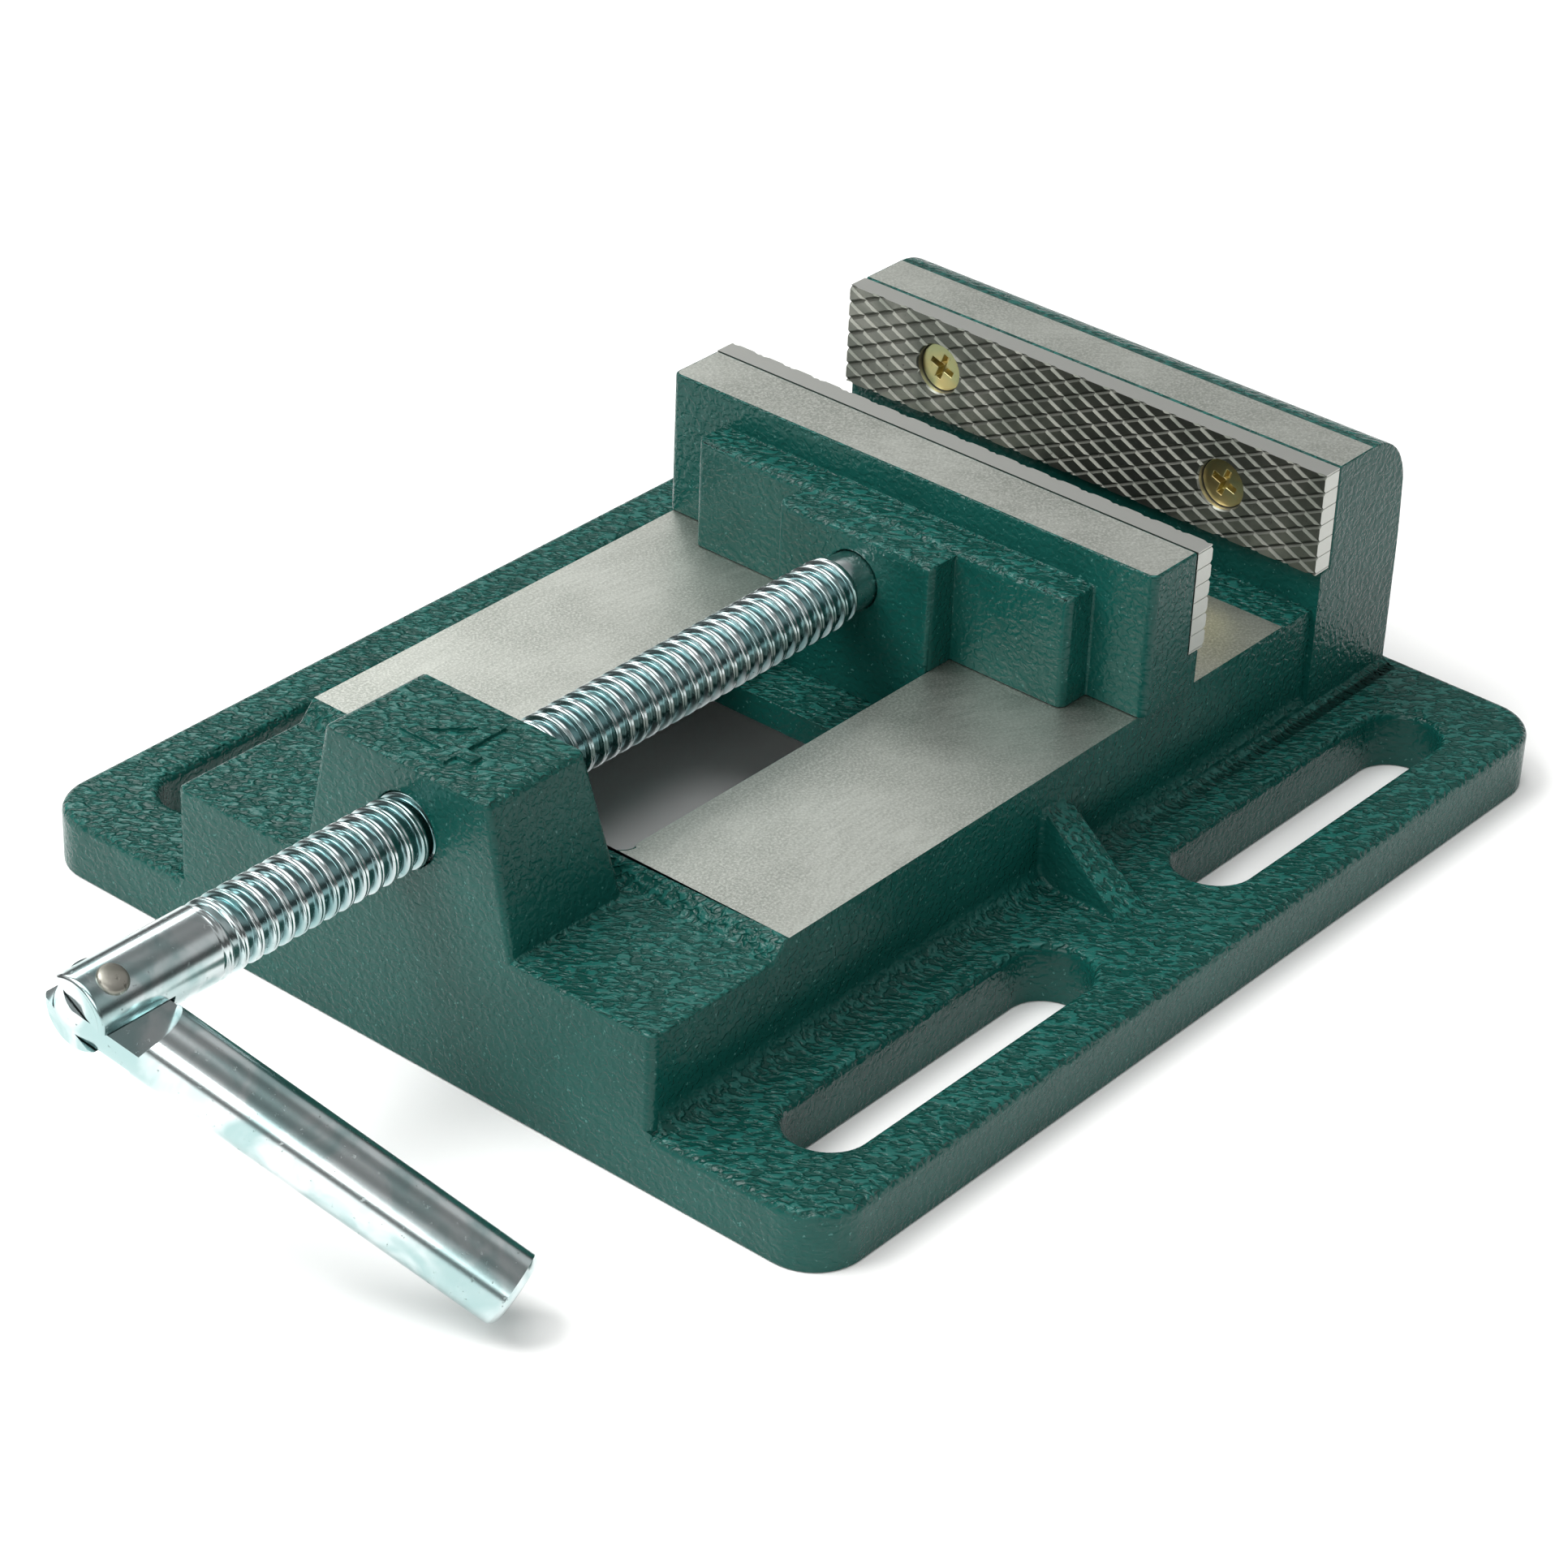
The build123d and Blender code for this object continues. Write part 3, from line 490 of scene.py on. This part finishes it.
casting = {
    # edge radii
    "edge": 0.75 * mm, "bossEdge": 1.1 * mm, "fineEdge": 0.12 * mm, "footEdge": 0.4 * mm, "markEdge": 0.16 * mm,
    "boreEdge": 0.3 * mm, "jawEdge": 0.45 * mm, "tongueEdge": 0.3 * mm,
    # milled faces, and how close a face has to lie
    "railZ": 30.4 * mm, "jawTopZ": 56.2 * mm, "seatX": (71.0 * mm, 31.8 * mm), "close": 0.05 * mm,
    # the end wall and its rounded corners
    "frontX": -95.0 * mm, "wallY": 49.0 * mm, "cornerR": 1.6 * mm, "cornerZ": (10.9 * mm, 29.0 * mm),
    # the boss, the bore in it and the mark on it
    "bossRearX": -69.0 * mm, "bossHalf": 22.5 * mm, "bossZ": (28.0 * mm, 52.6 * mm), "screwZ": 41.35 * mm,
    "boreReach": 7.0 * mm, "markX": (-94.0 * mm, -75.0 * mm), "markHalf": 15.0 * mm,
    # the fixed jaw: the step at its foot, and its rounded back
    "step": (69.0 * mm, 49.5 * mm), "stepReach": (0.3 * mm, 0.7 * mm), "backX": 71.5 * mm, "backZ": 40.0 * mm,
    "arcReach": 6.0 * mm,
    # the well's walls, where the tongue runs
    "wellFrontX": -70.0 * mm, "wellHalf": 24.0 * mm, "wellZ": 9.0 * mm,
    # the moving jaw: its length, its sliding face and the foot of its nose
    "jawX": (0.0, 40.0 * mm), "jawBottomZ": 30.5 * mm, "slideHalf": 26.0 * mm, "slideReach": 0.04 * mm,
    "noseFootZ": 31.4 * mm, "noseHalf": 15.4 * mm, "noseReach": (1.5 * mm, 0.1 * mm), "noseRearX": 9.5 * mm,
    # the strip behind the rails, and where the wall and the flange's rim meet
    "strip": (62.5 * mm, 28.5 * mm), "stripReach": (3.0 * mm, 2.5 * mm),
    "rimX": 91.5 * mm, "rimY": (46.5 * mm, 56.0 * mm), "rimZ": (8.5 * mm, 14.0 * mm),
}


def near(value, target, reach):
    return np.abs(value - target) < reach


def between(value, low, high):
    return (value > low) & (value < high)


def isMilled(normal, centre):
    # the rails' tops, the jaws' tops and the seats behind the plates
    c = casting
    height, along = centre[:, 2], centre[:, 0]
    top = near(height, c["railZ"], c["close"]) | near(height, c["jawTopZ"], c["close"])
    seat = near(along, c["seatX"][0], c["close"]) | near(along, c["seatX"][1], c["close"])
    return ((normal[:, 2] > 0.999) & top) | ((np.abs(normal[:, 0]) > 0.999) & seat)


def castSoftness(ends):
    # each edge's radius, from where its middle or its two ends lie; a later rule overrides an earlier one
    c = casting
    x, y, z = ends.mean(1).T
    y = np.abs(y)
    endX, endY, endZ = ends[..., 0], np.abs(ends[..., 1]), ends[..., 2]
    radius = np.full(len(ends), c["edge"])
    bossFootZ, bossTopZ = c["bossZ"]
    boss = (x < c["bossRearX"]) & (y < c["bossHalf"]) & (z > bossFootZ)
    radius[boss] = c["bossEdge"]
    radius[np.hypot(y, z - c["screwZ"]) < c["boreReach"]] = c["boreEdge"]
    mark = boss & between(x, *c["markX"]) & (y < c["markHalf"]) & (z > bossTopZ - weld["hair"])
    radius[mark] = c["markEdge"]
    jaw = between(x, *c["jawX"]) & (z > c["railZ"] - c["close"])
    radius[jaw] = c["jawEdge"]
    # the step at the fixed jaw's foot stays sharp
    radius[near(x, c["step"][0], c["stepReach"][0]) & near(y, c["step"][1], c["stepReach"][1])] = 0.0
    # the fixed jaw's rounded back meets its milled top: the edge softens gradually below it
    back = (x > c["backX"]) & (z > c["backZ"])
    below = np.clip((c["jawTopZ"] - z) / c["arcReach"], 0, 1)
    radius[back] = (c["fineEdge"] + (c["edge"] - c["fineEdge"]) * below)[back]
    radius[(endZ < c["close"]).all(1)] = c["footEdge"]
    well = (x > c["wellFrontX"]) & (y < c["wellHalf"]) & between(z, c["wellZ"], c["railZ"])
    radius[well] = c["tongueEdge"]
    # the edges that reach the moving jaw's sliding face stay sharp near its tongue, and fine beyond it
    sliding = near(endZ, c["jawBottomZ"], c["slideReach"])
    radius[sliding.any(1) & (y < c["slideHalf"])] = 0.0
    radius[sliding.all(1) & (y > c["slideHalf"])] = c["fineEdge"]
    noseFoot = near(endY, c["noseHalf"], c["noseReach"][0]) & near(endZ, c["noseFootZ"], c["noseReach"][1])
    radius[(noseFoot & (endX < c["noseRearX"])).any(1) & jaw] = 0.0
    # the rails' rear ends have their own small chamfer, and the strip behind them stays sharp
    strip = near(endX, c["strip"][0], c["stripReach"][0]) & near(endZ, c["strip"][1], c["stripReach"][1])
    radius[strip.all(1) | (strip.any(1) & (radius > c["fineEdge"]))] = 0.0
    # the wall and the flange's rounded rim run into each other at the two ends: left as cast
    rim = (np.abs(endX) > c["rimX"]) & between(endY, *c["rimY"]) & between(endZ, *c["rimZ"])
    radius[rim.any(1)] = 0.0
    return radius


def prismPiece(name, outline, low, high):
    # an outline in the floor's plane, drawn anticlockwise and carried straight up from low to high
    n = len(outline)
    outline = np.asarray(outline, float)
    points = np.concatenate([np.column_stack([outline, np.full(n, z)]) for z in (low, high)])
    walls = [[i, (i + 1) % n, n + (i + 1) % n, n + i] for i in range(n)]
    return newMesh(name, points, [list(range(n))[::-1], list(range(n, 2 * n))] + walls)


def roundWallCorners(piece):
    # takes the two upright front corners off the end wall: outline = corner block less a quarter circle
    c, spare = casting, 1 * mm
    for side in (1, -1):
        angle = np.linspace(0, np.pi / 2, 9)
        arc = np.stack([c["frontX"] + c["cornerR"] * (1 - np.sin(angle)),
                        side * (c["wallY"] - c["cornerR"] * (1 - np.cos(angle)))], 1)
        block = [[c["frontX"] - spare, side * (c["wallY"] - c["cornerR"])],
                 [c["frontX"] - spare, side * (c["wallY"] + spare)],
                 [c["frontX"] + c["cornerR"], side * (c["wallY"] + spare)]]
        outline = np.concatenate([arc, block])[::-side]
        combine(piece, prismPiece("cornerCutter", outline, *c["cornerZ"]), solver="EXACT")


def castPiece(node, body, material, prepare=None):
    piece = castCopy(node, node + "_cast", castSoftness, prepare=prepare)
    faces = piece.data.polygons
    writeMask(piece.data, "milled", "FACE", isMilled(readAll(faces, "normal", 3), readAll(faces, "center", 3)))
    smooth(piece, 36)
    return finishPiece(piece, body, node, material)


castPiece("base_casting", "base", baseMaterial, roundWallCorners)
castPiece("moving_jaw", "moving_jaw", jawMaterial)
castPiece("keeper_plate", "moving_jaw", jawMaterial)
print("castings made")


leadScrew = {
    "axisZ": 41.35 * mm, "rootR": 5.15 * mm, "endR": 5.95 * mm, "pitch": 3.0 * mm,
    "frontX": -160.0 * mm, "threadFrontX": -137.0 * mm, "threadRearX": 3.4 * mm, "neckR": 4.98 * mm,
    "rearX": 27.0 * mm, "grooveR": 3.6 * mm, "grooveFrontX": 17.85 * mm, "grooveRearX": 21.35 * mm,
    "chamfer": 0.7 * mm, "grooveChamfer": 0.25 * mm, "runOut": 6.0 * mm, "rearRunOut": 1.2 * mm,
    "neckTaper": 1.5 * mm, "forkRound": 0.22 * mm, "around": 84,
    "rowPhases": (0, 0.03, 0.06, 0.10, 0.14, 0.178, 0.215, 0.253, 0.29, 0.36,
                  0.5, 0.64, 0.71, 0.747, 0.785, 0.822, 0.86, 0.90, 0.94, 0.97),
    "forkTilt": math.radians(31.5), "forkSlot": 4.6 * mm, "forkEndX": -146.2 * mm, "rivetX": -155.0 * mm,
}


def threadProfile(phase):
    # a rolled thread: wide round valley, and a narrow crest with a shallow seam where the rolled metal met
    across = np.abs((phase % 1.0) - 0.5) * 2
    flank = np.clip((across - 0.42) / 0.30, 0, 1)
    rise = flank * flank * (3 - 2 * flank)
    seam = 0.12 * np.exp(-((across - 1.0) / 0.10) ** 2)
    return rise - seam


def threadGrid(part):
    # a grid sheared along the helix, so that its rows follow the crests: station = row step + pitch * turn;
    # radius = plain radius - depth * fade * (1 - profile)
    nv, perPitch = part["around"], len(part["rowPhases"])
    start, end = part["threadFrontX"], part["threadRearX"]
    turns = int(math.ceil((end - start) / part["pitch"])) + 1
    turn = np.arange(nv) / nv
    phase = (np.arange(turns)[:, None] + np.array(part["rowPhases"])[None]).reshape(-1, 1)
    rows = len(phase)
    station = np.clip(start + part["pitch"] * (phase - 1 + turn[None]), start, end)
    fade = (np.clip((station - start) / part["runOut"], 0, 1) ** 0.8
            * np.clip((end - station) / part["rearRunOut"], 0, 1))
    toNeck = np.clip((station - end + part["neckTaper"]) / part["neckTaper"], 0, 1)
    plain = part["endR"] + (part["neckR"] - part["endR"]) * toNeck
    cutAway = 1 - threadProfile(phase)
    radius = plain - (plain - part["rootR"]) * fade * cutAway
    # how far down each point lies in the thread's root: the share of painted shade there
    rootShade = np.broadcast_to(cutAway, radius.shape) * fade
    i, j = np.arange(rows - 1)[:, None], np.arange(nv - 1)[None, :]
    faces = np.stack([i * nv + j, (i + 1) * nv + j, (i + 1) * nv + j + 1, i * nv + j + 1], axis=-1).reshape(-1, 4)
    # the last column meets the first one pitch further on
    k = np.arange(rows - 1)
    far = np.minimum(k + perPitch, rows - 1)
    farNext = np.minimum(k + 1 + perPitch, rows - 1)
    seam = np.stack([k * nv + nv - 1, (k + 1) * nv + nv - 1, farNext * nv, far * nv], axis=-1)
    return station, radius, rootShade, faces.tolist() + seam.tolist()


def screwMesh(part):
    # the thread with the plain front end and the grooved rear neck turned on to it
    station, radius, rootShade, allFaces = threadGrid(part)
    rows, nv = station.shape
    start, end = part["threadFrontX"], part["threadRearX"]
    angle = 2 * np.pi * (np.arange(nv) / nv)
    side, up = np.array([0.0, 1.0, 0.0]), np.array([0.0, 0.0, 1.0])
    ring = np.cos(angle)[:, None] * side + np.sin(angle)[:, None] * up
    along = np.array([1.0, 0.0, 0.0])
    origin = np.array([0.0, 0.0, part["axisZ"]])
    thread = origin + station[:, :, None] * along + radius[:, :, None] * ring[None]
    c, f = part["chamfer"], part["grooveChamfer"]
    front = [(part["frontX"], part["endR"] - c), (part["frontX"] + 0.5 * c, part["endR"] - 0.35 * c),
             (part["frontX"] + c, part["endR"]), (part["threadFrontX"] - 8 * mm, part["endR"]), (start, part["endR"])]
    neckR, grooveR, groove, grooveEnd = part["neckR"], part["grooveR"], part["grooveFrontX"], part["grooveRearX"]
    rear = [(end, neckR), (groove - f, neckR), (groove, neckR - f), (groove + f, grooveR), (grooveEnd - f, grooveR),
            (grooveEnd, neckR - f), (grooveEnd + f, neckR), (part["rearX"] - c, neckR), (part["rearX"], neckR - c)]
    points = [thread.reshape(-1, 3)]
    base = rows * nv
    for rings, capFirst in ((front, True), (rear, False)):
        table = np.array(rings)
        shape = origin + table[:, 0][:, None, None] * along + table[:, 1][:, None, None] * ring[None]
        points.append(shape.reshape(-1, 3))
        allFaces += [[q + base for q in quad[::-1]] for quad in gridFaces(len(rings), nv, wrapV=True)]
        last = base + (len(rings) - 1) * nv
        allFaces.append(list(range(base, base + nv))[::-1] if capFirst else list(range(last, last + nv)))
        base += len(rings) * nv
    piece = newMesh("lead_screw_thread", np.concatenate(points), allFaces)
    # painted shade for the thread's roots, strongest deepest in them
    shade = np.zeros(len(piece.data.vertices), np.float32)
    shade[:rootShade.size] = rootShade.ravel()
    writeMask(piece.data, "rootShade", "POINT", shade)
    return piece


def cleanThread(work):
    # the grid's clipped ends leave faces without area
    bmesh.ops.remove_doubles(work, verts=work.verts, dist=1e-6)
    bmesh.ops.dissolve_degenerate(work, dist=1e-7, edges=work.edges)
    bmesh.ops.recalc_face_normals(work, faces=work.faces)


def makeLeadScrew(part):
    piece = screwMesh(part)
    rework(piece, cleanThread)
    # the fork's slot lies square to the rivet, with small chamfers left on its edges
    length = part["forkEndX"] - part["frontX"] + 4 * mm
    tilt = Matrix.Translation((0, 0, part["axisZ"])) @ Matrix.Rotation(part["forkTilt"], 4, "X")
    slot = boxPiece("forkCutter", (part["forkEndX"] - length, -9 * mm, -part["forkSlot"] / 2),
                    (part["forkEndX"], 9 * mm, part["forkSlot"] / 2), tilt)
    combine(piece, slot, solver="EXACT")
    softenEdges(piece, part["forkRound"], 38, lambda middle: middle[:, 0] < part["forkEndX"] + 0.1 * mm)
    smooth(piece, 62)
    return finishPiece(piece, "screw", "lead_screw", zincMaterial)


makeLeadScrew(leadScrew)
print("lead screw made")


handle = {
    "radius": 5.85 * mm, "length": 70.3 * mm, "swing": math.radians(20.0), "chamfer": 1.0 * mm,
    "tongue": 4.0 * mm, "shoulderR": 10.6 * mm, "rivetHoleR": 2.06 * mm, "spare": 2.0 * mm, "cutterHalf": 9.0 * mm,
    "rounded": 14.0 * mm, "forkRound": 0.25 * mm, "rivetHeadR": 2.45 * mm, "rivetHead": 0.88 * mm,
    "rivetR": 2.0 * mm, "rivetSeat": 0.35 * mm,
}
rivetPoint = Vector((leadScrew["rivetX"], 0, leadScrew["axisZ"]))
rivetAxis = Vector((0, -math.sin(leadScrew["forkTilt"]), math.cos(leadScrew["forkTilt"])))
sideways = Vector((0, -math.cos(leadScrew["forkTilt"]), -math.sin(leadScrew["forkTilt"])))
handleAxis = sideways * math.cos(handle["swing"]) + Vector((1, 0, 0)) * math.sin(handle["swing"])


def makeHandle(part):
    r, length, c = part["radius"], part["length"], part["chamfer"]
    stations = np.array([-r, -r + 1 * mm, 0.3 * length, 0.6 * length, length - c, length - 0.45 * c, length - 0.1 * c,
                         length])
    radii = np.array([r, r, r, r, r, r - 0.42 * c, r - 0.88 * c, r - 1.15 * c])
    bar = turnedPiece("handle_bar_turned", stations, radii, rivetPoint, handleAxis)
    # outline in the tongue's plane: round about the rivet, then straight along the bar
    across = rivetAxis.cross(handleAxis)
    angle = np.linspace(np.pi / 2, 3 * np.pi / 2, 41)
    free = length + part["spare"]
    outline = np.concatenate([np.stack([np.cos(angle) * (r - 0.03 * mm), np.sin(angle) * (r - 0.01 * mm)], 1),
                              [[free, -r - 0.2 * mm], [free, r + 0.2 * mm]]])
    flat = outline[:, :1] * np.array(handleAxis) + outline[:, 1:] * np.array(across)
    n = len(flat)
    shift = np.array(rivetAxis) * part["cutterHalf"]
    shell = np.concatenate([np.array(rivetPoint) + flat - shift, np.array(rivetPoint) + flat + shift])
    walls = [[i, (i + 1) % n, n + (i + 1) % n, n + i] for i in range(n)]
    faces = [list(range(n))[::-1], list(range(n, 2 * n))] + walls
    combine(bar, newMesh("tongueOutline", shell, faces), "INTERSECT", "EXACT")
    for side in (1, -1):
        cutter = turnedPiece("shoulderCutter", [0, 8 * mm], [part["shoulderR"]] * 2,
                             rivetPoint + rivetAxis * side * part["tongue"] / 2, rivetAxis * side)
        combine(bar, cutter, solver="EXACT")
    hole = turnedPiece("rivetHoleCutter", [-5 * mm, 5 * mm], [part["rivetHoleR"]] * 2, rivetPoint, rivetAxis)
    combine(bar, hole, solver="EXACT")
    softenEdges(bar, part["forkRound"], 35,
                lambda middle: (middle - np.array(rivetPoint)) @ np.array(handleAxis) < part["rounded"])
    smooth(bar, 32)
    return finishPiece(bar, "handle", "handle_bar", zincMaterial)


def makeRivet(part):
    # shank with a low dome at each end: station = head height * sin turn, radius = head radius * cos turn ** 0.55
    surfaceR, headR = leadScrew["endR"], part["rivetHeadR"]
    seat = surfaceR - part["rivetSeat"]
    dome = [(seat + part["rivetSeat"] + part["rivetHead"] * math.sin(turn) - 0.02 * mm,
             headR * math.cos(turn) ** 0.55) for turn in np.linspace(0, np.pi / 2, 9)[1:-1]]
    upper = [(seat, part["rivetR"]), (seat, headR), (seat + part["rivetSeat"], headR)] + dome
    upper.append((seat + part["rivetSeat"] + part["rivetHead"] - 0.01 * mm, 0.15 * mm))
    lower = [(-s, r) for s, r in upper[::-1]]
    table = np.array(lower + upper)
    rivet = turnedPiece("handle_rivet_domed", table[:, 0], table[:, 1], rivetPoint, rivetAxis)
    smooth(rivet, 50)
    return finishPiece(rivet, "screw", "handle_rivet", rivetMaterial)


makeHandle(handle)
makeRivet(handle)
print("handle made")


# the jaw plates: two crossed families of cut grooves leave rows of diamonds
serration = {
    "slope": math.radians(25.7), "pitch": 2.7 * mm, "grooveHalf": 0.42 * mm, "depth": 0.38 * mm,
    "holeR": 4.5 * mm, "holeDepth": 1.2 * mm, "shankR": 2.7 * mm, "screwY": 29.9 * mm, "screwZ": 47.0 * mm,
    "sheetHalf": (56.0 * mm, 15.0 * mm), "sheetDepth": 9.0 * mm, "cells": 36, "holeEdge": 0.25 * mm,
}


def diamondSheet(name, faceX, into, middle):
    # corners of the lattice: (i, j) counts grooves of the two families; a cell is a flat diamond
    # inset by half a groove, and its margins slope down to the groove lines
    s = serration
    a = np.array([math.cos(s["slope"]), math.sin(s["slope"])])
    b = np.array([math.cos(s["slope"]), -math.sin(s["slope"])])
    reach = s["pitch"] / math.sin(2 * s["slope"])
    inset = s["grooveHalf"] / s["pitch"]
    grid = np.arange(-s["cells"], s["cells"])
    i, j = [g.ravel() for g in np.meshgrid(grid, grid, indexing="ij")]
    corners = np.array([[0, 0], [1, 0], [1, 1], [0, 1]], float)
    inner = inset + (1 - 2 * inset) * corners
    cell = np.stack([i, j], 1)[:, None, :].astype(float)
    share = np.concatenate([corners, inner])[None] + cell
    plane = (share[..., :1] * a + share[..., 1:] * b) * reach
    keep = (np.abs(plane) < np.array(s["sheetHalf"])).all((1, 2))
    plane = plane[keep] + middle
    depth = np.concatenate([np.full(4, s["depth"]), np.zeros(4)])
    x = faceX + into * np.broadcast_to(depth, plane.shape[:2])
    points = np.stack([x, plane[..., 0], plane[..., 1]], -1)
    start = np.arange(len(points))[:, None] * 8
    local = np.array([[4, 5, 6, 7], [0, 1, 5, 4], [1, 2, 6, 5], [2, 3, 7, 6], [3, 0, 4, 7]])
    faces = (start[:, :, None] + local[None]).reshape(-1, 4)
    sheet = newMesh(name, points.reshape(-1, 3), faces.tolist())
    rework(sheet, lambda work: closeSheet(work, faceX + into * s["sheetDepth"]))
    return sheet


def closeSheet(work, backX):
    # walls back from the sheet's rim and a flat back make it a closed block
    bmesh.ops.remove_doubles(work, verts=work.verts, dist=1e-6)
    wall = bmesh.ops.extrude_edge_only(work, edges=[e for e in work.edges if e.is_boundary])["geom"]
    back = {g for g in wall if isinstance(g, bmesh.types.BMVert)}
    for vert in back:
        vert.co.x = backX
    bmesh.ops.edgeloop_fill(work, edges=[g for g in wall if isinstance(g, bmesh.types.BMEdge)
                                         and all(v in back for v in g.verts)])
    bmesh.ops.recalc_face_normals(work, faces=work.faces)


def makePlate(node, body, faceX, into):
    # the diamonds, trimmed to the plate's own box and drilled for its two screws
    s = serration
    low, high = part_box(node)
    sheet = diamondSheet(node + "_serrated", faceX, into, np.array([(low.y + high.y) / 2, (low.z + high.z) / 2]))
    block = boxPiece("plateBlock", (low.x, low.y, low.z), (high.x, high.y, high.z))
    combine(block, sheet, "INTERSECT", "EXACT")
    rim = s["holeR"] + s["holeEdge"]
    for y in (s["screwY"], -s["screwY"]):
        rings = np.array([(-2 * mm, rim), (0, rim), (0.3 * mm, s["holeR"]), (s["holeDepth"] + 0.3 * mm, s["holeR"]),
                          (3.5 * mm, s["shankR"]), (6 * mm, s["shankR"])])
        cutter = turnedPiece("screwHoleCutter", rings[:, 0], rings[:, 1], (faceX, y, s["screwZ"]), (into, 0, 0))
        combine(block, cutter, solver="EXACT")
    block.name = node + "_serrated"
    # the plate's rim is ground, and its face and back aren't
    writeMask(block.data, "milled", "FACE", np.abs(readAll(block.data.polygons, "normal", 3)[:, 0]) < 0.05)
    smooth(block, 20)
    return finishPiece(block, body, node, plateMaterial)


makePlate("fixed_jaw_plate", "base", 67.0 * mm, 1)
makePlate("moving_jaw_plate", "moving_jaw", 35.8 * mm, -1)
print("jaw plates made")


# small hardware: welded copies of the CAD solids with their edges eased
hardware = {
    "fixed_plate_screw_left": ("base", 0.14 * mm, yellowMaterial),
    "fixed_plate_screw_right": ("base", 0.14 * mm, yellowMaterial),
    "moving_plate_screw_left": ("moving_jaw", 0.14 * mm, yellowMaterial),
    "moving_plate_screw_right": ("moving_jaw", 0.14 * mm, yellowMaterial),
    "keeper_bolt_front": ("moving_jaw", 0.5 * mm, boltMaterial),
    "keeper_bolt_rear": ("moving_jaw", 0.5 * mm, boltMaterial),
    "keeper_washer_front": ("moving_jaw", 0.2 * mm, boltMaterial),
    "keeper_washer_rear": ("moving_jaw", 0.2 * mm, boltMaterial),
    "screw_retaining_pin": ("moving_jaw", 0.2 * mm, boltMaterial),
}
for node, (body, ease, material) in hardware.items():
    piece = castCopy(node, node + "_eased", lambda ends, width=ease: np.full(len(ends), width), 2)
    smooth(piece, 30)
    finishPiece(piece, body, node, material)
print("hardware made")


studio = {
    "floor": (0.93, 0.93, 0.92, 1), "floorSize": 8.0, "horizon": 0.07, "sky": 0.60, "dim": 0.22, "overhead": 2.4,
    "skyRise": (0.20, 0.44), "skyFall": (0.60, 0.75), "overheadRise": (0.86, 0.96),
    "lens": 104.94, "sensor": 36.0, "azimuth": math.radians(38.85), "elevation": math.radians(32.1),
    "roll": math.radians(2.61), "distance": 0.6987, "target": (-0.0365, -0.02364, 0.03291),
}
lamps = {
    # place, what it points at, width, height, watts
    "keySoftbox": ((-0.55, 0.45, 1.05), (0, 0, 0.02), 0.7, 0.7, 14.0),
    "fillSoftbox": ((-1.1, -0.35, 0.55), (0, 0, 0.02), 0.9, 0.5, 5.0),
    "backSoftbox": ((0.45, 1.2, 0.9), (0, 0, 0.03), 1.0, 0.4, 5.0),
}


def flatMaterial(name, colour, rough):
    material, tree, shader, _ = newMaterial(name)
    feed(tree, shader, Base_Color=colour, Roughness=rough)
    return material


half = studio["floorSize"] / 2
floor = newMesh("studioFloor", np.array([[-half, -half, 0], [half, -half, 0], [half, half, 0], [-half, half, 0.0]]),
                [(0, 1, 2, 3)])
floor.location.z = min(0.0, cadBounds[0][2])
floor.data.materials.append(flatMaterial("paleFloor", studio["floor"], 0.7))

# a bright ring of sky and a patch overhead with dim bands between, so that turned metal shows contrast
world = bpy.data.worlds.new("studioDome")
world.use_nodes = True
sky = world.node_tree
direction = sky.nodes.new("ShaderNodeTexCoord").outputs["Generated"]
height = put(sky, "ShaderNodeSeparateXYZ", {}, Vector=direction).outputs[2]
glow = spread(sky, height, *studio["skyRise"], studio["horizon"], studio["sky"])
glow = calc(sky, "ADD", glow, spread(sky, height, *studio["skyFall"], 0.0, studio["dim"] - studio["sky"]))
glow = calc(sky, "ADD", glow, spread(sky, height, *studio["overheadRise"], 0.0, studio["overhead"]))
sky.links.new(glow, sky.nodes["Background"].inputs["Strength"])
sky.nodes["Background"].inputs["Color"].default_value = (1, 1, 1, 1)
bpy.context.scene.world = world

for name, (place, aim, width, height, watts) in lamps.items():
    lamp = bpy.data.lights.new(name, "AREA")
    lamp.shape = "RECTANGLE"
    lamp.size, lamp.size_y, lamp.energy = width, height, watts
    holder = bpy.data.objects.new(name, lamp)
    holder.location = place
    holder.rotation_euler = (Vector(aim) - Vector(place)).to_track_quat("-Z", "Y").to_euler()
    bpy.context.scene.collection.objects.link(holder)

back = Vector((-math.cos(studio["azimuth"]) * math.cos(studio["elevation"]),
               -math.sin(studio["azimuth"]) * math.cos(studio["elevation"]), math.sin(studio["elevation"])))
right = (-back).cross(Vector((0, 0, 1))).normalized()
upward = right.cross(-back)
across = right * math.cos(studio["roll"]) + upward * math.sin(studio["roll"])
above = upward * math.cos(studio["roll"]) - right * math.sin(studio["roll"])
lens = bpy.data.cameras.new("camera")
lens.lens, lens.sensor_width, lens.sensor_fit = studio["lens"], studio["sensor"], "HORIZONTAL"
lens.clip_start = 0.01
camera = bpy.data.objects.new("camera", lens)
camera.matrix_world = Matrix.Translation(Vector(studio["target"]) + back * studio["distance"]) @ Matrix(
    (across, above, back)).transposed().to_4x4()
bpy.context.scene.collection.objects.link(camera)
bpy.context.scene.camera = camera
bpy.context.scene.view_settings.view_transform = "Standard"
bpy.context.scene.view_settings.look = "None"
print("stage set")
